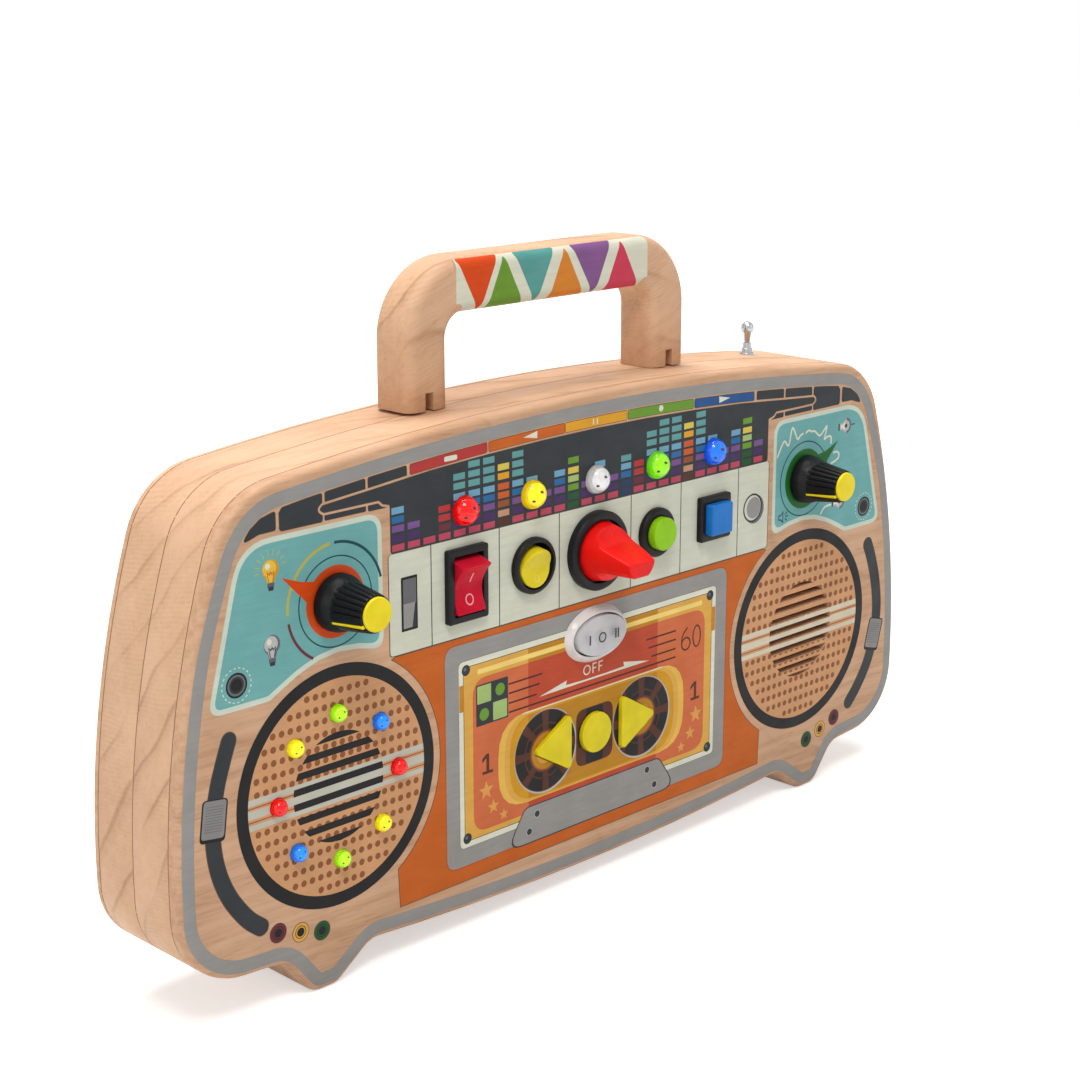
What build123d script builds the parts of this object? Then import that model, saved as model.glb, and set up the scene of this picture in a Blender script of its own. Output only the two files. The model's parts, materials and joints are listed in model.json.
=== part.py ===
"""Wooden busy board in the shape of a portable radio.

Four wooden layers, a carrying handle and a telescopic antenna hold a row of real switches, two dials,
three push keys, thirteen lamps, a loudspeaker, a control board and three AA cells.

Frame: +X to the right, +Y to the back, +Z up. The origin is on the floor, at the middle of the model.
Faces are drawn on planes parallel to the printed face: x to the right, y up from the speakers' centres.
Depths are counted from the printed face towards the back; what stands in front of it has a minus sign.
"""

from math import cos, radians, sin, sqrt
import os

from build123d import *

# ---------------------------------------------------------------- layers of the board
panel_t = 4.0  # printed front panel
frame_t = 15.5  # each of the two hollow frames
back_t = 3.0  # back panel
frame_wall = 11.0  # wall of the hollow frames
edge_round = 1.8  # rounded outer edge of the front and back panels
board_depth = panel_t + 2 * frame_t + back_t

# ---------------------------------------------------------------- outline of the board
board_width = 300.0
top_rise = 92.4  # top of the arch above the speakers' centres
speaker_z = 56.5  # speakers' centres above the floor
corner_z = 84.0  # upper corners of the outline, before rounding
corner_inset = 20.0
side_z = 32.0  # a point on the bowed side
side_inset = 4.7
low_z = -42.6  # lower corners, before rounding
low_inset = 1.1
valley_z = -47.8  # where the bottom arch meets the inner flank of a foot
bottom_z = -51.4  # middle of the bottom arch
valley_out_z = -44.6
foot_x = 103.9  # middle of a foot
foot_width = 8.6  # at the floor, before rounding
outer_flank = 9.3  # how far each flank spreads sideways
inner_flank = 12.1
corner_round = 24.0
low_round = 21.0
valley_round = 8.0
foot_round = 6.0
cavity_round = 12.0

half_width = board_width / 2
corner_x = half_width - corner_inset
side_x = half_width - side_inset
low_x = half_width - low_inset
arch_radius = (corner_x**2 + (top_rise - corner_z) ** 2) / (2 * (top_rise - corner_z))

# ---------------------------------------------------------------- where the controls sit
speaker_x = 97.7
switch_z = 46.4  # row of switches
switch_pitch = 25.9
selector_z = 45.9
dial_x = 97.2
dial_z = 50.8
lamp_z = 66.9
mode_z = 20.5
keys_z = -10.1

# ---------------------------------------------------------------- fits and clearances
running_fit = 0.05  # radial, shaft in bush
panel_fit = 0.1  # a housing in its cut-out
cap_fit = 0.25  # a moving cap in its housing
key_fit = 0.3

# ---------------------------------------------------------------- small screws
screw_r = 1.1
screw_head_r = 2.2
screw_head_t = 1.4

# ---------------------------------------------------------------- dials
dial_reach = 17.0  # top of the knob in front of the face
knob_top_r = 5.2
knob_flange_t = 2.2
knob_gap = 0.9  # knob to panel
knob_cap_t = 0.8
knob_cap_r = 4.6
dial_shaft_r = 3.0
bush_wall = 0.4
bush_r = dial_shaft_r + running_fit + bush_wall
bush_reach = 2.6
nut_wall = 1.55
nut_flats = 2 * (bush_r + nut_wall)
nut_t = 2.0
pot_r = 8.3
pot_depth = 8.5
pot_floor = 1.2
skirt_depth = 2.5  # hollow under the knob, over the nut
skirt_clearance = 0.5  # round the corners of the nut
skirt_r = nut_flats / sqrt(3) + skirt_clearance
knob_foot_r = skirt_r + 0.5
knob_flange_r = skirt_r + 1.3

# ---------------------------------------------------------------- selector
selector_reach = 18.6
selector_bezel_r = 11.8
selector_bezel_t = 3.0
selector_recess_r = 9.5
selector_recess_t = 2.0
selector_body_r = 8.0
selector_body_depth = 20.0
selector_ring_r = 10.5
selector_ring_t = 3.0
skirt_base_r = 9.0
shoulder_r = 8.2
shoulder_reach = 5.2
blade_length = 10.8
blade_top = (3.4, -0.3)  # upper side above the axis, at the shoulder and at the tip
blade_bottom = (-4.3, -4.8)
selector_shaft_front = 7.0

# ---------------------------------------------------------------- rocker switches
rocker_cap_size = (10.4, 15.2)
rocker_pocket_gap = 1.0  # room for the tips to swing
rocker_wall = 0.9
rocker_body = (
    rocker_cap_size[0] + 2 * (cap_fit + rocker_wall),
    rocker_cap_size[1] + 2 * (rocker_pocket_gap + rocker_wall),
)
rocker_bezel = (rocker_body[0] + 2.2, rocker_body[1] + 2.0)
rocker_bezel_t = 2.0
rocker_body_depth = 14.0
rocker_axis_depth = 1.0
rocker_tip = 4.6  # from the rocking axis to the tips of the cap
rocker_middle = 3.2  # and to its middle
rocker_back = 4.4
rocker_tilt = 10.5  # degrees from the middle to either side
blade_size = (0.8, 4.8, 7.0)  # terminal

round_rocker_r = 5.8
round_rocker_pocket_r = round_rocker_r + rocker_pocket_gap
round_rocker_body_r = round_rocker_pocket_r + 0.6
round_rocker_bezel_r = round_rocker_body_r + 0.8

# ---------------------------------------------------------------- three-way switch
mode_cap = (20.4, 12.0)
mode_pocket = (mode_cap[0] + 1.7, mode_cap[1] + 0.9)
mode_body = (mode_pocket[0] + 1.0, mode_pocket[1] + 0.8)
mode_rim = (mode_pocket[0] + 0.9, mode_pocket[1] + 1.2)
mode_bezel = (mode_rim[0] + 2.8, mode_rim[1] + 3.1)
mode_bezel_t = 2.1
mode_body_depth = 13.0
mode_axis_depth = 1.0
mode_cap_front = 4.0
mode_cap_back = 3.6
mode_tilt = 8.0

# ---------------------------------------------------------------- push buttons
button_reach = 4.6
button_travel = 2.0
button_bezel_t = 2.0
button_wall = 0.95
button_back = 3.4  # back of the cap behind the face
button_bore_depth = button_back + button_travel + 3.6
button_body_depth = 15.0
round_button_r = 5.0
round_button_body_r = round_button_r + cap_fit + button_wall
round_button_bezel_r = round_button_body_r + 1.3
square_button = 9.6
square_body = square_button + 2 * (cap_fit + button_wall)
square_bezel = square_body + 2.0
cap_round = 0.7

# ---------------------------------------------------------------- cassette keys
key_reach = 1.4
key_travel = 0.8
key_disc_r = 6.2
key_space = 4.6  # disc to triangle
key_edge = key_disc_r + key_space
key_length = 15.4
key_tip = key_edge + key_length
key_half = 9.0
key_round = 1.3
key_lip = 0.9
key_lip_t = 1.1
key_lip_gap = 0.3

# ---------------------------------------------------------------- lamps
lamp_r = 4.2
lamp_lip = 0.7
lamp_flange_r = lamp_r + lamp_lip
lamp_flange_t = 1.6
lamp_board_size = (4 * switch_pitch + 20.4, 10.0)
ring_lamp_r = 2.5
ring_lamp_lip = 0.4
ring_lamp_flange_r = ring_lamp_r + ring_lamp_lip
ring_lamp_flange_t = 1.0
ring_lamp_shoulder = 1.6  # straight part in front of the face
ring_r = 20.5
ring_board_outer = ring_r + 4.5
ring_board_inner = ring_r - 5.0
lead_r = 0.3
lead_pitch = 2.54
lead_stick = 0.6
board_t = 1.6

# ---------------------------------------------------------------- loudspeaker and grille
grille_r = 16.0
slot_t = 1.9
slot_pitch = 3.47
slot_count = 10
driver_r = 30.4
driver_flange_t = 1.4
driver_hole_r = driver_r - 2.5
basket_wall = 1.0
basket_mouth_r = driver_hole_r - screw_head_r - basket_wall - 0.2
basket_foot_r = 15.5
basket_depth = 9.0
magnet_r = 15.0
magnet_t = 7.0
cone_t = 0.5
cone_neck_r = 8.0
cone_depth = 6.0
coil_r = 5.8

# ---------------------------------------------------------------- control board, screws
control_board_size = (90.0, 44.0)
spacer_length = 7.0
tact_size = 6.0
tact_t = 3.5
stem_r = 1.7
stem_gap = 0.1
short_screw = 4.6
long_screw_bite = 2.6
spacer_r = 2.6
board_hole_inset = 4.0
back_screw_r = 1.5
back_screw_head_r = 3.0
back_screw_length = 14.0
corner_screw = (18.9, 14.0)  # from the lower corner of the outline, before rounding

# ---------------------------------------------------------------- battery
cell_r = 7.1
cell_length = 49.2
nub_r = 2.7
nub_t = 1.2
cell_spacing = 0.8
cell_pitch = 2 * cell_r + cell_spacing
cell_gap = 3.0  # end wall to cell, at each end
tray_wall = 1.6
cover_gap = 1.15  # cells to the rim of the tray
tray_depth = tray_wall + running_fit + 2 * cell_r + cover_gap
tray_floor_gap = 2.2  # tray above the lower wall of the frames
tray_z = valley_z + frame_wall + tray_floor_gap + tray_wall + 1.5 * cell_pitch
hatch_lip = 0.9  # how much the tray's rim stands inside the hatch
hatch_fit = 0.3
contact_t = 0.5

# ---------------------------------------------------------------- handle
handle_half = 56.8
handle_leg = 15.3
handle_inset = 3.8  # back of the handle in front of the back panel
handle_t = 15.0
handle_rise = 40.1  # above the top of the arch
handle_gap = 0.1
handle_bend = 22.0
handle_inner_bend = 6.8
handle_edge = 3.4
notch = (3.0, 5.0)
notch_depth = 4.0
dowel_r = 3.0
dowel_reach = 11.0  # into the leg
dowel_seat = 9.0  # into the frame

# ---------------------------------------------------------------- antenna
antenna_x = 100.0
antenna_inset = 7.7  # its axis in front of the back panel
antenna_radii = (2.3, 1.8, 1.35)  # outside of each tube
antenna_rod_r = 0.85
antenna_length = 64.0  # of the outer tube
antenna_steps = (0.7, 2.2, 3.9)  # tops of the tubes above the wood
antenna_tail = 2.0  # each inner tube ends this much higher
antenna_knob_r = 2.1
antenna_reach = 10.9  # top of the knob above the wood
antenna_neck = 4.0  # height of the flared neck below the knob

# the printed face lies so that the model is centred front to back
control_reach = max(dial_reach, selector_reach)
face_y = (control_reach - board_depth) / 2
inner = panel_t  # depth of the front panel's back
rear = board_depth - back_t  # depth of the back panel's front
seam = panel_t + frame_t
handle_front = rear - handle_inset - handle_t
antenna_depth = rear - antenna_inset
board_front = inner + spacer_length


# ---------------------------------------------------------------- helpers
def face(depth=0.0):
    """Plane parallel to the printed face: x right, y up from the speakers' centres, z to the front."""
    return Plane(origin=(0, face_y + depth, speaker_z), x_dir=(1, 0, 0), z_dir=(0, -1, 0))


def turned(x, z):
    """Plane through the axis of a turned piece: x is its radius, y its depth."""
    return Plane(origin=(x, face_y, speaker_z + z), x_dir=(1, 0, 0), z_dir=(0, 0, 1))


def turning_axis(x, z):
    """The axis of a turned piece, square to the printed face."""
    return Axis((x, face_y, speaker_z + z), (0, 1, 0))


def upright(x, depth):
    """Plane through a vertical axis: x is the radius, y the height above the floor."""
    return Plane(origin=(x, face_y + depth, 0), x_dir=(1, 0, 0), z_dir=(0, -1, 0))


def arch_z(x):
    """Height of the top arch at x, above the speakers' centres."""
    return top_rise - arch_radius + sqrt(arch_radius**2 - x**2)


def save(piece, name):
    """Label a finished piece and write it."""
    piece.label = name
    export_step(piece, f"parts/{name}.step")


def round_corners(sketch, corners, radius):
    """Round the named corners of a sketch."""
    for x, z in corners:
        fillet(sketch.vertices().sort_by_distance((x, z, 0))[0], radius)


def both_sides(points):
    """The points and their mirror images."""
    return [(side * x, z) for side in (1, -1) for x, z in points]


def draw_outline():
    """Silhouette of every layer: arched top, bowed sides, two small feet."""
    foot_out = foot_x + foot_width / 2
    foot_in = foot_x - foot_width / 2
    valley_out = (foot_out + outer_flank, valley_out_z)
    valley_in = (foot_in - inner_flank, valley_z)
    with BuildSketch(mode=Mode.PRIVATE) as outline:
        with BuildLine():
            ThreePointArc((-corner_x, corner_z), (0, top_rise), (corner_x, corner_z))
            for side in (1, -1):
                ThreePointArc((side * corner_x, corner_z), (side * side_x, side_z), (side * low_x, low_z))
                Polyline(
                    (side * low_x, low_z),
                    (side * valley_out[0], valley_out[1]),
                    (side * foot_out, -speaker_z),
                    (side * foot_in, -speaker_z),
                    (side * valley_in[0], valley_in[1]),
                )
            ThreePointArc(valley_in, (0, bottom_z), (-valley_in[0], valley_in[1]))
        make_face()
        round_corners(outline, both_sides([(corner_x, corner_z)]), corner_round)
        round_corners(outline, both_sides([(low_x, low_z)]), low_round)
        round_corners(outline, both_sides([valley_out, valley_in]), valley_round)
        round_corners(outline, both_sides([(foot_out, -speaker_z), (foot_in, -speaker_z)]), foot_round)
    add(outline.sketch)


def draw_cavity():
    """The hollow of the two frames, one wall inside the silhouette."""
    upper_x = corner_x - frame_wall
    upper_z = corner_z - frame_wall
    lower_x = low_x - frame_wall
    floor_z = valley_z + frame_wall
    with BuildSketch(mode=Mode.PRIVATE) as cavity:
        with BuildLine():
            ThreePointArc((-upper_x, upper_z), (0, top_rise - frame_wall), (upper_x, upper_z))
            for side in (1, -1):
                ThreePointArc(
                    (side * upper_x, upper_z),
                    (side * (side_x - frame_wall), side_z),
                    (side * lower_x, floor_z),
                )
            Line((-lower_x, floor_z), (lower_x, floor_z))
        make_face()
        round_corners(cavity, both_sides([(upper_x, upper_z), (lower_x, floor_z)]), cavity_round)
    add(cavity.sketch)


def draw_key(side, grow=0.0):
    """Outline of one cassette key: a disc in the middle, a triangle pointing out on each side."""
    if side == 0:
        with Locations((0, keys_z)):
            Circle(key_disc_r + grow)
        return
    with BuildSketch(mode=Mode.PRIVATE) as key:
        with BuildLine():
            Polyline(
                (side * key_edge, keys_z - key_half),
                (side * key_tip, keys_z),
                (side * key_edge, keys_z + key_half),
                close=True,
            )
        make_face()
        fillet(key.vertices(), key_round)
        if grow:
            offset(amount=grow)
    add(key.sketch)


# places of the repeated pieces, on the printed face
ring_lamps = {
    "green": (90, 270),
    "blue": (45, 225),
    "red": (0, 180),
    "yellow": (315, 135),
}
ring_screw_angles = (22.5, 112.5, 202.5, 292.5)
lamp_places = {"red": -2, "yellow": -1, "white": 0, "green": 1, "blue": 2}
back_screws_at = both_sides(
    [
        (75, arch_z(75) - frame_wall / 2),
        (half_width - frame_wall / 2 - 0.6, 0),
        (60, valley_z + frame_wall / 2),
        (low_x - corner_screw[0], low_z + corner_screw[1]),
    ]
)
board_hole_x = control_board_size[0] / 2 - board_hole_inset
board_hole_z = control_board_size[1] / 2 - board_hole_inset
board_screws_at = both_sides([(board_hole_x, keys_z + board_hole_z), (board_hole_x, keys_z - board_hole_z)])
lamp_screws_at = [(side * 1.5 * switch_pitch, lamp_z) for side in (1, -1)]


def on_circle(x, radius, angle):
    """A point on a circle around one of the speakers."""
    return (x + radius * cos(radians(angle)), radius * sin(radians(angle)))


ring_screws_at = [on_circle(-speaker_x, ring_r, angle) for angle in ring_screw_angles]
driver_screws_at = [on_circle(speaker_x, driver_hole_r, 45 + 90 * i) for i in range(4)]
# each short screw: place and the depth its head bears on
short_screws_at = (
    [(point, inner + lamp_flange_t + board_t) for point in lamp_screws_at]
    + [(point, inner + ring_lamp_flange_t + board_t) for point in ring_screws_at]
    + [(point, inner + driver_flange_t) for point in driver_screws_at]
)
ring_lamps_at = [on_circle(-speaker_x, ring_r, angle) for pair in ring_lamps.values() for angle in pair]
lamps_at = [(place * switch_pitch, lamp_z) for place in lamp_places.values()]
key_sides = (-1, 0, 1)

os.makedirs("parts", exist_ok=True)

# ================================================================ wooden board
with BuildPart() as front_panel:
    with BuildSketch(face()):
        draw_outline()
    extrude(amount=-panel_t)
    fillet(front_panel.faces().sort_by(Axis.Y)[0].edges(), edge_round)
    # cut-outs for the dials, lamps, switches and keys
    with BuildSketch(face()):
        with Locations(both_sides([(dial_x, dial_z)])):
            Circle(bush_r + panel_fit)
        with Locations(ring_lamps_at):
            Circle(ring_lamp_r + running_fit)
        with Locations(lamps_at):
            Circle(lamp_r + running_fit)
        with Locations((-2 * switch_pitch, switch_z)):
            Rectangle(rocker_body[0] + 2 * panel_fit, rocker_body[1] + 2 * panel_fit)
        with Locations((-switch_pitch, switch_z)):
            Circle(round_rocker_body_r + panel_fit)
        with Locations((0, selector_z)):
            Circle(selector_body_r + panel_fit)
        with Locations((switch_pitch, switch_z)):
            Circle(round_button_body_r + panel_fit)
        with Locations((2 * switch_pitch, switch_z)):
            Rectangle(square_body + 2 * panel_fit, square_body + 2 * panel_fit)
        with Locations((0, mode_z)):
            Ellipse(mode_body[0] / 2 + panel_fit, mode_body[1] / 2 + panel_fit)
        for side in key_sides:
            draw_key(side, cap_fit)
    extrude(amount=-panel_t, mode=Mode.SUBTRACT)
    # grille of the loudspeaker
    with BuildSketch(face()):
        with Locations((speaker_x, 0)):
            with GridLocations(0, slot_pitch, 1, slot_count):
                Rectangle(2 * grille_r, slot_t)
            Circle(grille_r, mode=Mode.INTERSECT)
    extrude(amount=-panel_t, mode=Mode.SUBTRACT)
    # pilot holes from the back
    for point, bearing in short_screws_at:
        with BuildSketch(face(bearing - short_screw)):
            with Locations(point):
                Circle(screw_r)
        extrude(amount=-panel_t, mode=Mode.SUBTRACT)
    with BuildSketch(face(inner - long_screw_bite)):
        with Locations(board_screws_at):
            Circle(screw_r)
    extrude(amount=-panel_t, mode=Mode.SUBTRACT)
save(front_panel.part, "front_panel")

with BuildPart() as front_frame:
    with BuildSketch(face(inner)):
        draw_outline()
    extrude(amount=-frame_t)
    with BuildSketch(face(inner)):
        draw_cavity()
    extrude(amount=-frame_t, mode=Mode.SUBTRACT)
save(front_frame.part, "front_frame")

leg_x = handle_half - handle_leg / 2
handle_depth = handle_front + handle_t / 2
foot_z = arch_z(handle_half - handle_leg) + handle_gap
dowel_low = arch_z(leg_x) - dowel_seat
antenna_top = speaker_z + arch_z(antenna_x)
above_board = Plane.XY.offset(speaker_z + top_rise + 1)

with BuildPart() as rear_frame:
    with BuildSketch(face(seam)):
        draw_outline()
    extrude(amount=-frame_t)
    with BuildSketch(face(seam)):
        draw_cavity()
    extrude(amount=-frame_t, mode=Mode.SUBTRACT)
    # blind holes for the dowels of the handle
    with BuildSketch(above_board):
        with Locations(both_sides([(leg_x, face_y + handle_depth)])):
            Circle(dowel_r)
    extrude(amount=-(top_rise + 1 - dowel_low), mode=Mode.SUBTRACT)
    # the antenna goes through the top wall
    with BuildSketch(above_board):
        with Locations((antenna_x, face_y + antenna_depth)):
            Circle(antenna_radii[0])
    extrude(amount=-(top_rise - arch_z(antenna_x) + 2 * frame_wall), mode=Mode.SUBTRACT)
    # pilot holes for the screws of the back panel
    with BuildSketch(face(rear)):
        with Locations(back_screws_at):
            Circle(back_screw_r)
    extrude(amount=back_screw_length - back_t, mode=Mode.SUBTRACT)
save(rear_frame.part, "rear_frame")

# ================================================================ battery compartment
tray_inside = (cell_length + nub_t + 2 * cell_gap, 3 * cell_pitch)
hatch = (tray_inside[0] + 2 * hatch_lip, tray_inside[1] + 2 * hatch_lip)
tray_outside = (tray_inside[0] + 2 * tray_wall, tray_inside[1] + 2 * tray_wall)
ear = (12.0, 9.0)  # tab of the hatch that takes its screw
ear_z = tray_z + hatch[1] / 2 + ear[1] / 2
boss_depth = 9.0
door_screw_z = tray_z + tray_outside[1] / 2 + screw_head_r + 1.2


def draw_hatch(grow=0.0):
    """The battery door's outline: a rectangle with a tab on top."""
    with Locations((0, tray_z)):
        Rectangle(hatch[0] + 2 * grow, hatch[1] + 2 * grow)
    with Locations((0, ear_z - 0.5)):
        Rectangle(ear[0] + 2 * grow, ear[1] + 1.0 + 2 * grow)


with BuildPart() as back_panel:
    with BuildSketch(face(rear)):
        draw_outline()
    extrude(amount=-back_t)
    fillet(back_panel.faces().sort_by(Axis.Y)[-1].edges(), edge_round)
    with BuildSketch(face(rear)):
        draw_hatch()
    extrude(amount=-back_t, mode=Mode.SUBTRACT)
    with BuildSketch(face(rear)):
        with Locations(back_screws_at):
            Circle(back_screw_r)
    extrude(amount=-back_t, mode=Mode.SUBTRACT)
    # countersinks
    for x, z in back_screws_at:
        with BuildSketch(turned(x, z)):
            Polygon(
                (0, board_depth), (back_screw_head_r, board_depth), (0, board_depth - back_screw_head_r),
                align=None,
            )
        revolve(axis=turning_axis(x, z), mode=Mode.SUBTRACT)
save(back_panel.part, "back_panel")

with BuildPart() as back_screws:
    for x, z in back_screws_at:
        head_depth = board_depth - back_screw_head_r + back_screw_r
        with BuildSketch(turned(x, z)):
            Polygon(
                (0, board_depth - 0.8),
                (1.2, board_depth - 0.8),
                (1.2, board_depth),
                (back_screw_head_r, board_depth),
                (back_screw_r, head_depth),
                (back_screw_r, board_depth - back_screw_length + back_screw_r),
                (0, board_depth - back_screw_length),
                align=None,
            )
        revolve(axis=turning_axis(x, z))
save(back_screws.part, "back_screws")

with BuildPart() as battery_tray:
    with BuildSketch(face(rear - tray_depth)):
        with Locations((0, tray_z)):
            Rectangle(*tray_outside)
    extrude(amount=-tray_depth)
    with BuildSketch(face(rear - tray_depth + tray_wall)):
        with Locations((0, tray_z)):
            Rectangle(*tray_inside)
    extrude(amount=-tray_depth, mode=Mode.SUBTRACT)
    # boss for the door's screw
    boss_top = ear_z + ear[1] / 2 - hatch_fit
    boss_low = tray_z + tray_outside[1] / 2
    with BuildSketch(face(rear - boss_depth)):
        with Locations((0, (boss_top + boss_low) / 2)):
            Rectangle(ear[0] - 2 * hatch_lip, boss_top - boss_low)
    extrude(amount=-boss_depth)
    with BuildSketch(face(rear)):
        with Locations((0, door_screw_z)):
            Circle(screw_r)
    extrude(amount=boss_depth - 1.5, mode=Mode.SUBTRACT)
save(battery_tray.part, "battery_tray")

with BuildPart() as battery_door:
    with BuildSketch(face(rear)):
        draw_hatch(-hatch_fit)
    extrude(amount=-back_t)
    with BuildSketch(face(rear)):
        with Locations((0, door_screw_z)):
            Circle(screw_r + panel_fit)
    extrude(amount=-back_t, mode=Mode.SUBTRACT)
    with BuildSketch(face(board_depth)):
        with Locations((0, door_screw_z)):
            Circle(screw_head_r + cap_fit)
    extrude(amount=screw_head_t + 0.2, mode=Mode.SUBTRACT)
    # finger groove across the lower edge
    with BuildSketch(face(board_depth)):
        with Locations((0, tray_z - hatch[1] / 2 + 7)):
            SlotOverall(20, 5)
    extrude(amount=back_t / 2, mode=Mode.SUBTRACT)
save(battery_door.part, "battery_door")

with BuildPart() as door_screw:
    with BuildSketch(face(board_depth - 0.2)):
        with Locations((0, door_screw_z)):
            Circle(screw_head_r)
    extrude(amount=screw_head_t)
    with BuildSketch(face(board_depth - 0.2 - screw_head_t)):
        with Locations((0, door_screw_z)):
            Circle(screw_r)
    extrude(amount=back_t + boss_depth - 4.0)
    with BuildSketch(face(board_depth - 0.2)):
        with Locations((0, door_screw_z)):
            Rectangle(2.6, 0.6)
            Rectangle(0.6, 2.6)
    extrude(amount=0.7, mode=Mode.SUBTRACT)
save(door_screw.part, "door_screw")

cell_depth = rear - tray_depth + tray_wall + cell_r + running_fit
cell_ends = (cell_length + nub_t) / 2
with BuildPart() as battery_cells:
    for i in range(3):
        way = (-1) ** i
        low_end = Plane(
            origin=(-way * cell_ends, face_y + cell_depth, speaker_z + tray_z + (i - 1) * cell_pitch),
            x_dir=(0, 1, 0),
            z_dir=(way, 0, 0),
        )
        with BuildSketch(low_end):
            Circle(cell_r)
        extrude(amount=cell_length)
        with BuildSketch(low_end.offset(cell_length)):
            Circle(nub_r)
        extrude(amount=nub_t)
save(battery_cells.part, "battery_cells")

with BuildPart() as battery_contacts:
    for i in range(3):
        cell_z = speaker_z + tray_z + (i - 1) * cell_pitch
        for end in (1, -1):
            wall = Plane(
                origin=(end * tray_inside[0] / 2, face_y + cell_depth, cell_z),
                x_dir=(0, 1, 0),
                z_dir=(-end, 0, 0),
            )
            with BuildSketch(wall):
                Rectangle(10, 10)
            extrude(amount=contact_t)
            with BuildSketch(wall):
                Circle(3.0)
            with BuildSketch(wall.offset(cell_gap)):
                Circle(1.6)
            loft()
save(battery_contacts.part, "battery_contacts")

# ================================================================ handle
handle_top = top_rise + handle_rise
leg_inner = handle_half - handle_leg
with BuildPart() as handle:
    with BuildSketch(face(handle_front)) as arch:
        with BuildLine():
            Polyline(
                (-handle_half, foot_z),
                (-handle_half, handle_top),
                (handle_half, handle_top),
                (handle_half, foot_z),
                (leg_inner, foot_z),
                (leg_inner, handle_top - handle_leg),
                (-leg_inner, handle_top - handle_leg),
                (-leg_inner, foot_z),
                close=True,
            )
        make_face()
        round_corners(arch, both_sides([(handle_half, handle_top)]), handle_bend)
        round_corners(arch, both_sides([(leg_inner, handle_top - handle_leg)]), handle_inner_bend)
    extrude(amount=-handle_t)
    soles = handle.faces().sort_by(Axis.Z)[:2]
    fillet(handle.edges() - soles.edges(), handle_edge)
    with BuildSketch(face(handle_front)):
        with Locations(both_sides([(leg_x, foot_z + notch[1] / 2)])):
            Rectangle(*notch)
    extrude(amount=-notch_depth, mode=Mode.SUBTRACT)
    with BuildSketch(Plane.XY.offset(speaker_z + foot_z)):
        with Locations(both_sides([(leg_x, face_y + handle_depth)])):
            Circle(dowel_r)
    extrude(amount=dowel_reach, mode=Mode.SUBTRACT)
save(handle.part, "handle")

with BuildPart() as handle_dowels:
    with BuildSketch(Plane.XY.offset(speaker_z + dowel_low)):
        with Locations(both_sides([(leg_x, face_y + handle_depth)])):
            Circle(dowel_r)
    extrude(amount=foot_z + dowel_reach - dowel_low)
save(handle_dowels.part, "handle_dowels")


# ================================================================ antenna
def tube(outer_r, bore_r, low, high):
    """A vertical tube on the antenna's axis, heights above the floor."""
    with BuildPart() as piece:
        with BuildSketch(Plane.XY.offset(low)):
            with Locations((antenna_x, face_y + antenna_depth)):
                Circle(outer_r)
                Circle(bore_r, mode=Mode.SUBTRACT)
        extrude(amount=high - low)
    return piece.part


antenna_low = antenna_top + antenna_steps[0] - antenna_length
antenna_names = ("antenna_tube", "antenna_middle", "antenna_upper")
for i, name in enumerate(antenna_names):
    inner_piece_r = (antenna_radii + (antenna_rod_r,))[i + 1]
    save(
        tube(
            antenna_radii[i],
            inner_piece_r + running_fit,
            antenna_low + i * antenna_tail,
            antenna_top + antenna_steps[i],
        ),
        name,
    )

knob_top = antenna_top + antenna_reach
knob_low = knob_top - 1.6 * antenna_knob_r
dome_z = knob_top - antenna_knob_r
dome_slant = antenna_knob_r * sin(radians(45))
with BuildPart() as antenna_tip:
    with BuildSketch(upright(antenna_x, antenna_depth)):
        with BuildLine():
            Polyline(
                (0, antenna_low + 3 * antenna_tail),
                (antenna_rod_r, antenna_low + 3 * antenna_tail),
                (antenna_rod_r, knob_low - antenna_neck),
                (0.7 * antenna_knob_r, knob_low),
                (antenna_knob_r, knob_low),
                (antenna_knob_r, dome_z),
            )
            ThreePointArc((antenna_knob_r, dome_z), (dome_slant, dome_z + dome_slant), (0, knob_top))
            Line((0, knob_top), (0, antenna_low + 3 * antenna_tail))
        make_face()
    revolve(axis=Axis((antenna_x, face_y + antenna_depth, 0), (0, 0, 1)))
save(antenna_tip.part, "antenna_tip")


# ================================================================ dials
def potentiometer(x):
    """Round body behind the panel with a threaded bush through it and three legs below."""
    with BuildPart() as piece:
        with BuildSketch(turned(x, dial_z)):
            Polygon(
                (dial_shaft_r + running_fit, -bush_reach),
                (bush_r, -bush_reach),
                (bush_r, inner),
                (pot_r, inner),
                (pot_r, inner + pot_depth),
                (0, inner + pot_depth),
                (0, inner + pot_depth - pot_floor),
                (dial_shaft_r + running_fit, inner + pot_depth - pot_floor),
                align=None,
            )
        revolve(axis=turning_axis(x, dial_z))
        with BuildSketch(face(inner + 3)):
            for offset_x in (-5, 0, 5):
                with Locations((x + offset_x, dial_z - pot_r - 1.5)):
                    Rectangle(1.2, 5.0)
        extrude(amount=-0.6)
    return piece.part


def dial_shaft(x):
    """Plain shaft from the potentiometer into the knob."""
    with BuildPart() as piece:
        with BuildSketch(face(inner + pot_depth - pot_floor - 0.2)):
            with Locations((x, dial_z)):
                Circle(dial_shaft_r)
        extrude(amount=inner + pot_depth - pot_floor - 0.2 + dial_reach - knob_cap_t - 2.5)
    return piece.part


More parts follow.
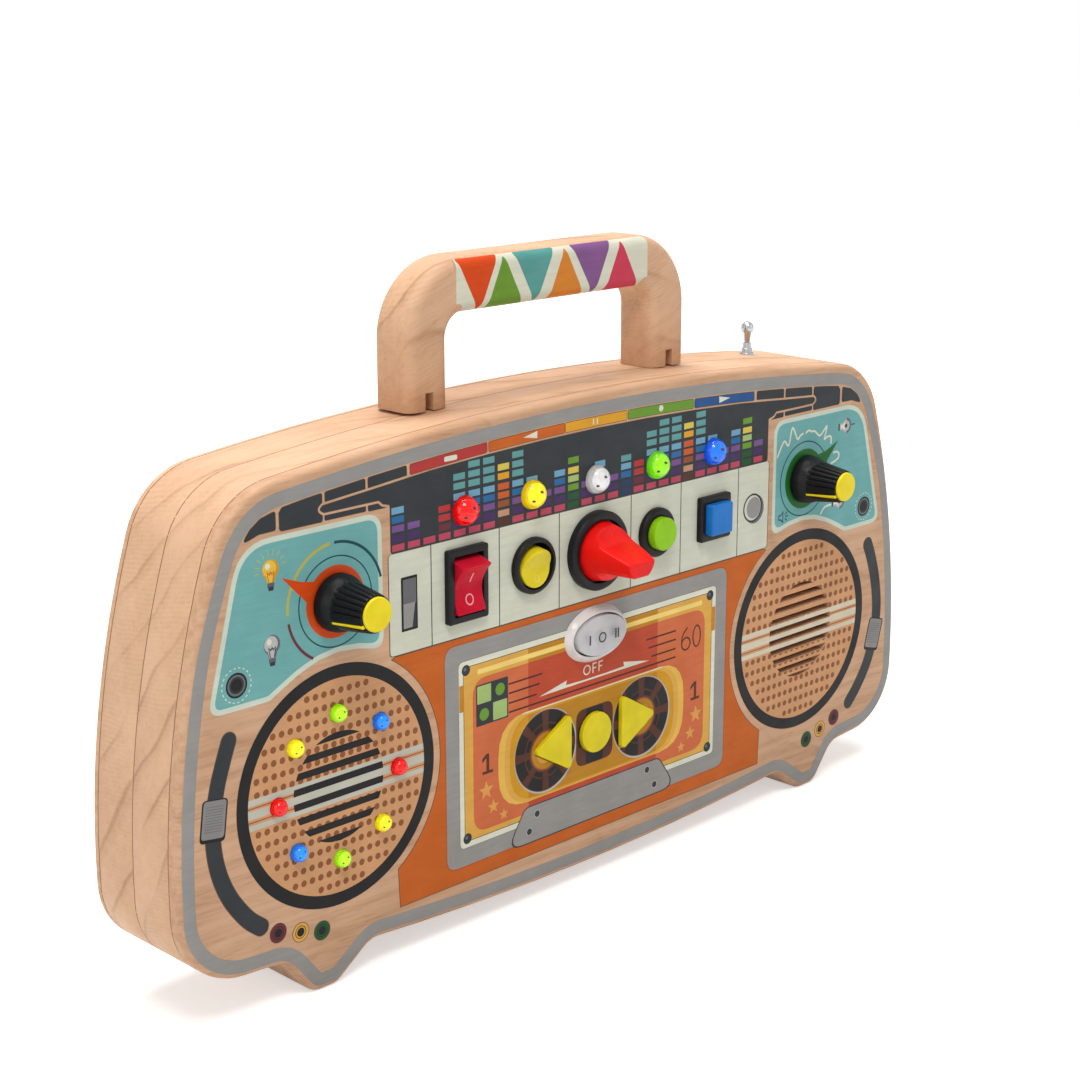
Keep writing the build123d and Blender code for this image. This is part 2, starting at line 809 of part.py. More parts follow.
def dial_knob(x):
    """Tapered knob with a flange; hollow underneath, over the nut."""
    knob_front = -(dial_reach - knob_cap_t)
    with BuildPart() as piece:
        with BuildSketch(turned(x, dial_z)):
            Polygon(
                (dial_shaft_r, -(knob_gap + skirt_depth)),
                (skirt_r, -(knob_gap + skirt_depth)),
                (skirt_r, -knob_gap),
                (knob_flange_r, -knob_gap),
                (knob_flange_r, -(knob_gap + knob_flange_t)),
                (knob_foot_r, -(knob_gap + knob_flange_t) - 0.6),
                (knob_top_r, knob_front),
                (0, knob_front),
                (0, knob_front + 2.5),
                (dial_shaft_r, knob_front + 2.5),
                align=None,
            )
        revolve(axis=turning_axis(x, dial_z))
    return piece.part


def dial_cap(x):
    """Coloured disc on the end of the knob."""
    with BuildPart() as piece:
        with BuildSketch(face(-(dial_reach - knob_cap_t))):
            with Locations((x, dial_z)):
                Circle(knob_cap_r)
        extrude(amount=knob_cap_t)
        fillet(piece.faces().sort_by(Axis.Y)[0].edges(), 0.4)
    return piece.part


for name, x in (("light", -dial_x), ("volume", dial_x)):
    save(potentiometer(x), f"{name}_pot")
    save(dial_shaft(x), f"{name}_shaft")
    save(dial_knob(x), f"{name}_knob")
    save(dial_cap(x), f"{name}_knob_cap")

with BuildPart() as pot_nuts:
    with BuildSketch(face()):
        with Locations(both_sides([(dial_x, dial_z)])):
            RegularPolygon(nut_flats / 2, 6, major_radius=False)
            Circle(bush_r, mode=Mode.SUBTRACT)
    extrude(amount=nut_t)
save(pot_nuts.part, "pot_nuts")

# ================================================================ rocker switch
rocker_x = -2 * switch_pitch
pocket_depth = rocker_axis_depth + sqrt((rocker_cap_size[1] / 2) ** 2 + rocker_back**2) + 0.6


def rocking_plane(x, z, axis_depth, tilt):
    """Plane across a cap that rocks about a level axis: x is up along the cap, y to the front."""
    return Plane(
        origin=(x, face_y + axis_depth, speaker_z + z),
        x_dir=(0, -sin(radians(tilt)), cos(radians(tilt))),
        z_dir=(1, 0, 0),
    )


def draw_rocker(half):
    """Profile of a rocker cap: a shallow V in front, a round back."""
    with BuildSketch(mode=Mode.PRIVATE) as profile:
        with BuildLine():
            Polyline((-half, -1.0), (-half, rocker_tip), (0, rocker_middle), (half, rocker_tip), (half, -1.0))
            ThreePointArc((half, -1.0), (0, -rocker_back), (-half, -1.0))
        make_face()
    add(profile.sketch)


with BuildPart() as rocker_housing:
    with BuildSketch(face()):
        with Locations((rocker_x, switch_z)):
            RectangleRounded(*rocker_bezel, 0.8)
    extrude(amount=rocker_bezel_t)
    chamfer(rocker_housing.faces().sort_by(Axis.Y)[0].edges(), 0.4)
    with BuildSketch(face()):
        with Locations((rocker_x, switch_z)):
            Rectangle(*rocker_body)
    extrude(amount=-rocker_body_depth)
    with BuildSketch(face(-rocker_bezel_t)):
        with Locations((rocker_x, switch_z)):
            Rectangle(rocker_cap_size[0] + 2 * cap_fit, rocker_cap_size[1] + 2 * rocker_pocket_gap)
    extrude(amount=-(rocker_bezel_t + pocket_depth), mode=Mode.SUBTRACT)
    with BuildSketch(face(rocker_body_depth)):
        with Locations((rocker_x, switch_z + 4), (rocker_x, switch_z - 4)):
            Rectangle(blade_size[1], blade_size[0])
    extrude(amount=-blade_size[2])
save(rocker_housing.part, "rocker_housing")

with BuildPart() as rocker_cap:
    with BuildSketch(rocking_plane(rocker_x, switch_z, rocker_axis_depth, rocker_tilt)):
        draw_rocker(rocker_cap_size[1] / 2)
    extrude(amount=rocker_cap_size[0] / 2, both=True)
save(rocker_cap.part, "rocker_cap")

# ================================================================ round rocker switch
round_rocker_x = -switch_pitch
round_pocket = rocker_axis_depth + sqrt(round_rocker_r**2 + rocker_back**2) + 0.6
with BuildPart() as round_rocker_housing:
    with BuildSketch(turned(round_rocker_x, switch_z)):
        Polygon(
            (0, rocker_body_depth),
            (round_rocker_body_r, rocker_body_depth),
            (round_rocker_body_r, 0),
            (round_rocker_bezel_r, 0),
            (round_rocker_bezel_r, -rocker_bezel_t + 0.6),
            (round_rocker_bezel_r - 0.6, -rocker_bezel_t),
            (round_rocker_pocket_r, -rocker_bezel_t),
            (round_rocker_pocket_r, round_pocket),
            (0, round_pocket),
            align=None,
        )
    revolve(axis=turning_axis(round_rocker_x, switch_z))
    with BuildSketch(face(rocker_body_depth)):
        with Locations((round_rocker_x, switch_z + 3), (round_rocker_x, switch_z - 3)):
            Rectangle(blade_size[1], blade_size[0])
    extrude(amount=-blade_size[2])
save(round_rocker_housing.part, "round_rocker_housing")

with BuildPart() as round_rocker_cap:
    rocking = rocking_plane(round_rocker_x, switch_z, rocker_axis_depth, rocker_tilt)
    with BuildSketch(rocking):
        draw_rocker(round_rocker_r)
    extrude(amount=round_rocker_r, both=True)
    across = Plane(origin=rocking.origin, x_dir=(1, 0, 0), z_dir=rocking.y_dir)
    with BuildSketch(across.offset(-2 * round_rocker_r)):
        Circle(round_rocker_r)
    extrude(amount=4 * round_rocker_r, mode=Mode.INTERSECT)
save(round_rocker_cap.part, "round_rocker_cap")

# ================================================================ selector
with BuildPart() as selector_housing:
    with BuildSketch(turned(0, selector_z)):
        Polygon(
            (dial_shaft_r + running_fit, -(selector_bezel_t - selector_recess_t)),
            (selector_recess_r, -(selector_bezel_t - selector_recess_t)),
            (selector_recess_r, -selector_bezel_t),
            (selector_bezel_r - 0.8, -selector_bezel_t),
            (selector_bezel_r, -selector_bezel_t + 0.8),
            (selector_bezel_r, 0),
            (selector_body_r, 0),
            (selector_body_r, inner),
            (selector_ring_r, inner),
            (selector_ring_r, inner + selector_ring_t),
            (selector_body_r, inner + selector_ring_t),
            (selector_body_r, selector_body_depth),
            (0, selector_body_depth),
            (0, selector_body_depth - 4),
            (dial_shaft_r + running_fit, selector_body_depth - 4),
            align=None,
        )
    revolve(axis=turning_axis(0, selector_z))
save(selector_housing.part, "selector_housing")

knob_low_depth = -(selector_bezel_t - selector_recess_t) - key_fit
with BuildPart() as selector_knob:
    with BuildSketch(turned(0, selector_z)):
        Polygon(
            (0, knob_low_depth),
            (skirt_base_r, knob_low_depth),
            (shoulder_r, -shoulder_reach),
            (blade_length / 2, -selector_reach),
            (0, -selector_reach),
            align=None,
        )
    revolve(axis=turning_axis(0, selector_z))
    # a scoop above and one below leave a level blade in front of the round shoulder
    side_view = Plane(origin=(0, face_y, speaker_z + selector_z), x_dir=(0, -1, 0), z_dir=(-1, 0, 0))
    with BuildSketch(side_view):
        Polygon(
            (-knob_low_depth, -skirt_base_r - 1),
            (shoulder_reach, -skirt_base_r - 1),
            (shoulder_reach + 1.4, blade_bottom[0] - 1.4),
            (shoulder_reach + 3.2, blade_bottom[0]),
            (selector_reach, blade_bottom[1]),
            (selector_reach, blade_top[1]),
            (shoulder_reach + 2.8, blade_top[0]),
            (shoulder_reach + 1.1, blade_top[0] + 1.9),
            (shoulder_reach, skirt_base_r + 1),
            (-knob_low_depth, skirt_base_r + 1),
            align=None,
        )
    extrude(amount=2 * skirt_base_r, both=True, mode=Mode.INTERSECT)
    fillet(selector_knob.edges().filter_by(lambda edge: edge.center().Y < face_y - shoulder_reach - 4), 0.6)
    with BuildSketch(face(knob_low_depth)):
        with Locations((0, selector_z)):
            Circle(dial_shaft_r)
    extrude(amount=selector_shaft_front + knob_low_depth, mode=Mode.SUBTRACT)
save(selector_knob.part, "selector_knob")

with BuildPart() as selector_shaft:
    with BuildSketch(face(selector_body_depth - 4.2)):
        with Locations((0, selector_z)):
            Circle(dial_shaft_r)
    extrude(amount=selector_body_depth - 4.2 + selector_shaft_front)
save(selector_shaft.part, "selector_shaft")

# ================================================================ push buttons
with BuildPart() as round_button_housing:
    with BuildSketch(turned(switch_pitch, switch_z)):
        Polygon(
            (0, button_body_depth),
            (round_button_body_r, button_body_depth),
            (round_button_body_r, 0),
            (round_button_bezel_r, 0),
            (round_button_bezel_r, -button_bezel_t + 0.7),
            (round_button_bezel_r - 0.7, -button_bezel_t),
            (round_button_r + cap_fit, -button_bezel_t),
            (round_button_r + cap_fit, button_bore_depth),
            (0, button_bore_depth),
            align=None,
        )
    revolve(axis=turning_axis(switch_pitch, switch_z))
save(round_button_housing.part, "round_button_housing")

with BuildPart() as round_button_cap:
    with BuildSketch(face(button_back)):
        with Locations((switch_pitch, switch_z)):
            Circle(round_button_r)
    extrude(amount=button_back + button_reach)
    fillet(round_button_cap.faces().sort_by(Axis.Y)[0].edges(), cap_round)
save(round_button_cap.part, "round_button_cap")

square_x = 2 * switch_pitch
with BuildPart() as square_button_housing:
    with BuildSketch(face()):
        with Locations((square_x, switch_z)):
            RectangleRounded(square_bezel, square_bezel, 0.8)
    extrude(amount=button_bezel_t)
    chamfer(square_button_housing.faces().sort_by(Axis.Y)[0].edges(), 0.4)
    with BuildSketch(face()):
        with Locations((square_x, switch_z)):
            Rectangle(square_body, square_body)
    extrude(amount=-button_body_depth)
    with BuildSketch(face(-button_bezel_t)):
        with Locations((square_x, switch_z)):
            Rectangle(square_button + 2 * cap_fit, square_button + 2 * cap_fit)
    extrude(amount=-(button_bezel_t + button_bore_depth), mode=Mode.SUBTRACT)
save(square_button_housing.part, "square_button_housing")

with BuildPart() as square_button_cap:
    with BuildSketch(face(button_back)):
        with Locations((square_x, switch_z)):
            RectangleRounded(square_button, square_button, 0.6)
    extrude(amount=button_back + button_reach)
    fillet(square_button_cap.faces().sort_by(Axis.Y)[0].edges(), 0.5)
save(square_button_cap.part, "square_button_cap")

# ================================================================ three-way switch
mode_pocket_depth = mode_axis_depth + mode_cap_back + mode_cap[0] / 2 * sin(radians(mode_tilt)) + 0.8
with BuildPart() as mode_switch_housing:
    with BuildSketch(face()):
        with Locations((0, mode_z)):
            Ellipse(mode_bezel[0] / 2, mode_bezel[1] / 2)
    with BuildSketch(face(-mode_bezel_t)):
        with Locations((0, mode_z)):
            Ellipse(mode_rim[0] / 2, mode_rim[1] / 2)
    loft()
    with BuildSketch(face()):
        with Locations((0, mode_z)):
            Ellipse(mode_body[0] / 2, mode_body[1] / 2)
    extrude(amount=-mode_body_depth)
    with BuildSketch(face(-mode_bezel_t)):
        with Locations((0, mode_z)):
            Ellipse(mode_pocket[0] / 2, mode_pocket[1] / 2)
    extrude(amount=-(mode_bezel_t + mode_pocket_depth), mode=Mode.SUBTRACT)
save(mode_switch_housing.part, "mode_switch_housing")

with BuildPart() as mode_switch_cap:
    with BuildSketch(face(mode_axis_depth + mode_cap_back)):
        with Locations((0, mode_z)):
            Ellipse(mode_cap[0] / 2, mode_cap[1] / 2)
    extrude(amount=mode_cap_back + mode_cap_front)
save(mode_switch_cap.part, "mode_switch_cap")

# ================================================================ cassette keys
for name, side in (("rewind_key", -1), ("stop_key", 0), ("play_key", 1)):
    with BuildPart() as key_piece:
        with BuildSketch(face(inner + key_lip_gap)):
            draw_key(side)
        extrude(amount=inner + key_lip_gap + key_reach)
        fillet(key_piece.faces().sort_by(Axis.Y)[0].edges(), 0.4)
        with BuildSketch(face(inner + key_lip_gap)):
            draw_key(side, key_lip)
        extrude(amount=-key_lip_t)
    save(key_piece.part, name)

key_middle = (2 * key_edge + key_tip) / 3
keys_at = [(side * key_middle, keys_z) for side in key_sides]
stem_front = inner + key_lip_gap + key_lip_t + key_travel + stem_gap
with BuildPart() as tact_switches:
    with BuildSketch(face(board_front)):
        with Locations(keys_at):
            Rectangle(tact_size, tact_size)
    extrude(amount=tact_t)
    with BuildSketch(face(board_front - tact_t)):
        with Locations(keys_at):
            Circle(stem_r)
    extrude(amount=board_front - tact_t - stem_front)
save(tact_switches.part, "tact_switches")

# ================================================================ control board
with BuildPart() as control_board:
    with BuildSketch(face(board_front)):
        with Locations((0, keys_z)):
            RectangleRounded(*control_board_size, 2)
        with Locations(board_screws_at):
            Circle(screw_r + panel_fit, mode=Mode.SUBTRACT)
    extrude(amount=-board_t)
    # sound chip, radio module, amplifier and two sockets on the back
    chips = {
        (-18, 6): (10, 10, 1.6),
        (20, 5): (16, 13, 2.2),
        (2, -12): (6, 5, 1.4),
        (-36, 3): (5, 8, 3.0),
        (36, -6): (5, 8, 3.0),
    }
    for (x, z), (width, height, thick) in chips.items():
        with BuildSketch(face(board_front + board_t)):
            with Locations((x, keys_z + z)):
                Rectangle(width, height)
        extrude(amount=-thick)
save(control_board.part, "control_board")

with BuildPart() as board_spacers:
    with BuildSketch(face(inner)):
        with Locations(board_screws_at):
            Circle(spacer_r)
            Circle(screw_r + panel_fit, mode=Mode.SUBTRACT)
    extrude(amount=-(board_front - inner))
save(board_spacers.part, "board_spacers")


def screw(x, z, bearing, length):
    """A pan-head screw whose head bears at the given depth and whose tip points to the front."""
    with BuildPart() as piece:
        with BuildSketch(turned(x, z)):
            Polygon(
                (0, bearing - length),
                (screw_r, bearing - length + screw_r),
                (screw_r, bearing),
                (screw_head_r, bearing),
                (screw_head_r, bearing + 0.6 * screw_head_t),
                (0.5 * screw_head_r, bearing + screw_head_t),
                (0, bearing + screw_head_t),
                align=None,
            )
        revolve(axis=turning_axis(x, z))
    return piece.part


with BuildPart() as board_screws:
    for x, z in board_screws_at:
        add(screw(x, z, board_front + board_t, board_front + board_t - inner + long_screw_bite))
save(board_screws.part, "board_screws")

with BuildPart() as short_screws:
    for (x, z), bearing in short_screws_at:
        add(screw(x, z, bearing, short_screw))
save(short_screws.part, "short_screws")


# ================================================================ lamps
def draw_leads(points):
    """Two thin leads for each lamp."""
    for x, z in points:
        with Locations((x - lead_pitch / 2, z), (x + lead_pitch / 2, z)):
            Circle(lead_r)


for colour, place in lamp_places.items():
    x = place * switch_pitch
    slant = lamp_r * sin(radians(45))
    with BuildPart() as lamp:
        with BuildSketch(turned(x, lamp_z)):
            with BuildLine():
                Polyline(
                    (0, -lamp_r), (0, inner + lamp_flange_t), (lamp_flange_r, inner + lamp_flange_t),
                    (lamp_flange_r, inner), (lamp_r, inner), (lamp_r, 0),
                )
                ThreePointArc((lamp_r, 0), (slant, -slant), (0, -lamp_r))
            make_face()
        revolve(axis=turning_axis(x, lamp_z))
        with BuildSketch(face(inner + lamp_flange_t)):
            draw_leads([(x, lamp_z)])
        extrude(amount=-(board_t + lead_stick))
    save(lamp.part, f"lamp_{colour}")

lamp_board_front = inner + lamp_flange_t
with BuildPart() as lamp_board:
    with BuildSketch(face(lamp_board_front)):
        with Locations((0, lamp_z)):
            RectangleRounded(*lamp_board_size, 1)
        with Locations(lamp_screws_at):
            Circle(screw_r + panel_fit, mode=Mode.SUBTRACT)
        for x, z in lamps_at:
            with Locations((x - lead_pitch / 2, z), (x + lead_pitch / 2, z)):
                Circle(lead_r + running_fit, mode=Mode.SUBTRACT)
    extrude(amount=-board_t)
save(lamp_board.part, "lamp_board")

for colour, angles in ring_lamps.items():
    with BuildPart() as ring_group:
        for angle in angles:
            x, z = on_circle(-speaker_x, ring_r, angle)
            back = inner + ring_lamp_flange_t
            dome = -ring_lamp_shoulder
            slant = ring_lamp_r * sin(radians(45))
            with BuildSketch(turned(x, z)):
                with BuildLine():
                    Polyline(
                        (0, dome - ring_lamp_r), (0, back), (ring_lamp_flange_r, back),
                        (ring_lamp_flange_r, inner), (ring_lamp_r, inner), (ring_lamp_r, dome),
                    )
                    ThreePointArc((ring_lamp_r, dome), (slant, dome - slant), (0, dome - ring_lamp_r))
                make_face()
            revolve(axis=turning_axis(x, z))
            with BuildSketch(face(back)):
                draw_leads([(x, z)])
            extrude(amount=-(board_t + lead_stick))
    save(ring_group.part, f"ring_lamps_{colour}")

with BuildPart() as ring_board:
    with BuildSketch(face(inner + ring_lamp_flange_t)):
        with Locations((-speaker_x, 0)):
            Circle(ring_board_outer)
            Circle(ring_board_inner, mode=Mode.SUBTRACT)
        with Locations(ring_screws_at):
            Circle(screw_r + panel_fit, mode=Mode.SUBTRACT)
        for x, z in ring_lamps_at:
            with Locations((x - lead_pitch / 2, z), (x + lead_pitch / 2, z)):
                Circle(lead_r + running_fit, mode=Mode.SUBTRACT)
    extrude(amount=-board_t)
save(ring_board.part, "ring_board")

# ================================================================ loudspeaker
driver_axis = turning_axis(speaker_x, 0)
basket_back = inner + driver_flange_t + basket_depth
with BuildPart() as speaker_basket:
    with BuildSketch(turned(speaker_x, 0)):
        Polygon(
            (basket_mouth_r, inner),
            (driver_r, inner),
            (driver_r, inner + driver_flange_t),
            (basket_mouth_r + basket_wall, inner + driver_flange_t),
            (basket_foot_r + basket_wall, basket_back + basket_wall),
            (coil_r + 0.6, basket_back + basket_wall),
            (coil_r + 0.6, basket_back),
            (basket_foot_r, basket_back),
            (basket_mouth_r, inner + driver_flange_t),
            align=None,
        )
    revolve(axis=driver_axis)
    with BuildSketch(face(inner)):
        with Locations(driver_screws_at):
            Circle(screw_r + panel_fit)
    extrude(amount=-driver_flange_t, mode=Mode.SUBTRACT)
save(speaker_basket.part, "speaker_basket")

with BuildPart() as speaker_cone:
    cone_front = inner + 0.4
    neck = cone_front + cone_depth
    with BuildSketch(turned(speaker_x, 0)):
        Polygon(
            (basket_mouth_r - running_fit, cone_front),
            (basket_mouth_r - 2.5, cone_front - 0.2),
            (cone_neck_r, neck),
            (coil_r, neck - 1.6),
            (0, neck - 2.6),
            (0, neck - 2.6 + cone_t),
            (coil_r - 0.8, neck - 1.6 + cone_t),
            (coil_r - 0.8, basket_back),
            (coil_r, basket_back),
            (coil_r, neck + cone_t),
            (cone_neck_r + 0.3, neck + cone_t),
            (basket_mouth_r - 2.5, cone_front + cone_t),
            (basket_mouth_r - running_fit, cone_front + cone_t),
            align=None,
        )
    revolve(axis=driver_axis)
save(speaker_cone.part, "speaker_cone")

with BuildPart() as speaker_magnet:
    with BuildSketch(face(basket_back + basket_wall)):
        with Locations((speaker_x, 0)):
            Circle(magnet_r)
    extrude(amount=-magnet_t)
    chamfer(speaker_magnet.faces().sort_by(Axis.Y)[-1].edges(), 0.8)
save(speaker_magnet.part, "speaker_magnet")

print("board", board_width, "x", board_depth, "printed face at y", round(face_y, 2))
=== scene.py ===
"""Looks of the wooden busy board: oiled wood, the printed face, switches, lamps, antenna and the studio.

Everything is in metres in the part's own frame. Prints on the panel are drawn in the artwork's millimetres,
with the origin midway between the two speaker circles, and art_point() puts them on the face. The stripe
round the face and the marks on the switches are drawn in real sizes.
"""
import json
import math
from contextlib import contextmanager

import bmesh
import bpy
import numpy as np
from mathutils import Matrix, Vector
from mathutils.geometry import delaunay_2d_cdt

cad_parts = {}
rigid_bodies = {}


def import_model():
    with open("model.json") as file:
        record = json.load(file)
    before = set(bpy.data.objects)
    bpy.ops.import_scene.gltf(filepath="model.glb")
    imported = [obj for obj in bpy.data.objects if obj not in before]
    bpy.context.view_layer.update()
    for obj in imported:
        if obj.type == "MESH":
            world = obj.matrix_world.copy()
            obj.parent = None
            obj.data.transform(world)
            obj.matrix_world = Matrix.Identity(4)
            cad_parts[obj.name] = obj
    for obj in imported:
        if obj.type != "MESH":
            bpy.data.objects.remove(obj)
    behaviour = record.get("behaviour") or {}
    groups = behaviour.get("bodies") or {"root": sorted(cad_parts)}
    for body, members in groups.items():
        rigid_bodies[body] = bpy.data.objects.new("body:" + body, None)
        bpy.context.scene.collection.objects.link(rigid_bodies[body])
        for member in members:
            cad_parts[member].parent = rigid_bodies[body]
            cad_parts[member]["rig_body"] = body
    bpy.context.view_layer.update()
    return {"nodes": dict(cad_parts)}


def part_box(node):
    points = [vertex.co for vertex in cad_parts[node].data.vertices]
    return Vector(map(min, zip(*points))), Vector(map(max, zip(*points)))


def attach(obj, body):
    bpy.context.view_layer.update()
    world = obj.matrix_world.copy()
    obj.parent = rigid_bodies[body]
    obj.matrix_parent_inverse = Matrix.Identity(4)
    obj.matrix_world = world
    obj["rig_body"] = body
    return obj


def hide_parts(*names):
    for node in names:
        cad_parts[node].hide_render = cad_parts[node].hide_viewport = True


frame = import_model()
nodes = frame["nodes"]
scene = bpy.context.scene

MM = 0.001
ART = 0.3 / 280  # one artwork millimetre on the board
FILM = 0.05 * MM  # the print stands out of the wood this far, and goes as far into it
FACES = (FILM, -FILM)
FACE_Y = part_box("front_panel")[0].y
SPEAKER_Z = 0.0565

# places on the face in artwork millimetres, with the same in real ones where both are used
SPEAKER_X, SPEAKER_X_MM = 91.19, 97.7
DIAL, DIAL_MM = (90.72, 47.41), (97.2, 50.8)
PITCH, PITCH_MM = 24.17, 25.9  # between switches, and between lamps
SWITCH_Z, SWITCH_Z_MM = 43.31, 46.4
LAMP_Z, LAMP_Z_MM = 62.44, 66.9
RING, RING_MM = 19.13, 20.5  # radius of the ring of small lamps
OVAL_Z, OVAL_Z_MM = 19.13, 20.5
KEY_Z = -9.43

# ---- camera
camera_data = bpy.data.cameras.new("camera")
camera_data.lens = 69.67
camera_data.sensor_width = 36
camera_data.clip_start = 0.01
camera = bpy.data.objects.new("camera", camera_data)
scene.collection.objects.link(camera)
# its columns are the camera's right, up and backward directions and its place
camera.matrix_world = Matrix(
    (
        (0.707881, 0.183337, -0.682124, -0.42484),
        (-0.706332, 0.182659, -0.683909, -0.41289),
        (-0.000790, 0.965931, 0.258797, 0.26213),
        (0, 0, 0, 1),
    )
)
scene.camera = camera
scene.view_settings.view_transform = "Standard"


# ---- node graphs
def linear(rgb):
    """An sRGB colour from 0 to 255 as linear values."""
    parts = [c / 255 for c in rgb]
    return tuple(c / 12.92 if c <= 0.04045 else ((c + 0.055) / 1.055) ** 2.4 for c in parts)


def fade(value, start, width):
    """From 0 at the start to 1 a width later."""
    return min(1.0, max(0.0, (value - start) / width))


def scaled(colour, factor, lift=0.0):
    """A linear colour made lighter or darker."""
    return tuple(min(1.0, c * factor + lift) for c in colour)


class Graph:
    """The node tree of a new material, or of the world, with short calls for the nodes used here."""

    def __init__(self, name, world=None):
        self.owner = world or bpy.data.materials.new(name)
        self.owner.use_nodes = True
        self.tree = self.owner.node_tree
        self.tree.nodes.clear()

    def add(self, kind, inputs=None, **settings):
        node = self.tree.nodes.new("ShaderNode" + kind)
        for key, value in settings.items():
            setattr(node, key, value)
        for key, value in (inputs or {}).items():
            socket = node.inputs[key]
            if isinstance(value, bpy.types.NodeSocket):
                self.tree.links.new(value, socket)
            elif socket.type == "RGBA" and len(value) == 3:
                socket.default_value = (*value, 1)
            else:
                socket.default_value = value
        return node

    def place(self):
        return self.add("TexCoord").outputs["Object"]

    def maths(self, operation, *values):
        return self.add("Math", dict(enumerate(values)), operation=operation).outputs[0]

    def plus(self, a, b):
        return self.maths("ADD", a, b)

    def times(self, a, b):
        return self.maths("MULTIPLY", a, b)

    def vector(self, operation, *values):
        node = self.add("VectorMath", dict(enumerate(values)), operation=operation)
        return node.outputs["Value" if operation in ("DOT_PRODUCT", "LENGTH") else "Vector"]

    def noise(self, where, scale, detail=3, rough=0.5, distortion=0.0):
        inputs = {"Vector": where, "Scale": scale, "Detail": detail, "Roughness": rough}
        return self.add("TexNoise", {**inputs, "Distortion": distortion}).outputs[0]

    def mapped(self, where, turn, sizes=(1, 1, 1), shift=(0, 0, 0)):
        inputs = {"Vector": where, "Rotation": [math.radians(a) for a in turn], "Scale": sizes}
        return self.add("Mapping", {**inputs, "Location": shift}).outputs[0]

    def range(self, value, low, high, to_low=0.0, to_high=1.0):
        inputs = {"Value": value, "From Min": low, "From Max": high, "To Min": to_low, "To Max": to_high}
        return self.add("MapRange", inputs).outputs[0]

    def mix(self, factor, a, b):
        return self.add("Mix", {0: factor, 6: a, 7: b}, data_type="RGBA").outputs[2]

    def bump(self, height, strength, distance):
        return self.add("Bump", {"Height": height, "Strength": strength, "Distance": distance}).outputs[0]

    def seen(self):
        """1 for the camera's rays, and for those that reach here by a reflection or through glass."""
        rays = self.add("LightPath").outputs
        either = self.maths("MAXIMUM", rays["Is Camera Ray"], rays["Is Glossy Ray"])
        return self.maths("MAXIMUM", either, rays["Is Transmission Ray"])

    def finish(self, shader, output="OutputMaterial"):
        self.add(output, {"Surface": shader})
        return self.owner

    def surface(self, colour, rough, normal, more):
        inputs = {"Base Color": colour, "Roughness": rough, "Normal": normal, **more}
        return self.finish(self.add("BsdfPrincipled", inputs).outputs[0])


# ---- materials
PALE, LINES = (219, 178, 144), (160, 114, 79)


def wood(name, shift=(0, 0, 0), turn=(0, 0, 0), figure=0.50, streak=0.10, light=PALE, dark=LINES):
    """Pale oiled wood: slanting growth lines, long streaks, fine ripples, short pores, a little mottling."""
    g = Graph(name)
    here = g.mapped(g.place(), turn, shift=shift)
    sway = g.vector("SUBTRACT", g.noise(here, 13, 2).node.outputs["Color"], (0.5,) * 3)
    # growth layers are slanting planes, bent by the sway, each with one sharp edge
    across = g.vector("DOT_PRODUCT", g.vector("MULTIPLY_ADD", sway, (0.026,) * 3, here), (0.24, 0.84, 0.49))
    across = g.plus(across, g.range(g.noise(here, 48), 0.3, 0.7, -0.0012, 0.0012))
    layer = g.add("ValToRGB", {"Fac": g.maths("FRACT", g.times(across, 86))})
    ramp = layer.color_ramp
    ramp.interpolation = "EASE"
    for at, level in ((0.0, 0.10), (0.60, 0.02), (0.82, 0.34), (0.92, 1.0), (1.0, 0.10)):
        stop = ramp.elements[0] if at == 0.0 else ramp.elements[-1] if at == 1.0 else ramp.elements.new(at)
        stop.color = (level,) * 3 + (1,)
    broad = g.times(layer.outputs[0], g.range(g.noise(here, 30, 2), 0.36, 0.64, 0.10, 1.0))
    # long streaks along the board
    long_way = g.vector("MULTIPLY_ADD", sway, (0.004,) * 3, g.mapped(here, (0, 9, 0), (0.05, 1, 1)))
    streaks = g.range(g.noise(long_way, 420, 5, 0.62), 0.40, 0.68)
    # fine ripples across the growth layers
    ripple = g.times(g.noise(g.mapped(here, (0, 0, 0), (1, 1, 0.5)), 40), 30)
    ripple = g.plus(g.times(g.vector("DOT_PRODUCT", here, (0.10, 0.16, 0.98)), 5200), ripple)
    fine = g.times(g.range(g.maths("SINE", ripple), -1, 1), g.range(g.noise(here, 60, 2), 0.38, 0.72))
    pores = g.range(g.noise(g.mapped(here, (0, 0, 0), (0.10, 1, 1)), 1500, 2), 0.60, 0.72)
    mottle = g.noise(here, 35, 4)
    depth = g.times(broad, figure)
    for part, share in ((streaks, streak), (fine, 0.12), (pores, 0.20)):
        depth = g.plus(depth, g.times(part, share))
    depth = g.plus(depth, g.range(mottle, 0.3, 0.7, -0.10, 0.20))
    rough = g.range(g.plus(streaks, mottle), 0.3, 1.5, 0.48, 0.64)
    normal = g.bump(g.plus(g.times(streaks, -0.5), g.times(pores, -1)), 0.30, 0.05 * MM)
    return g.surface(g.mix(depth, linear(light), linear(dark)), rough, normal, {"Specular IOR Level": 0.2})


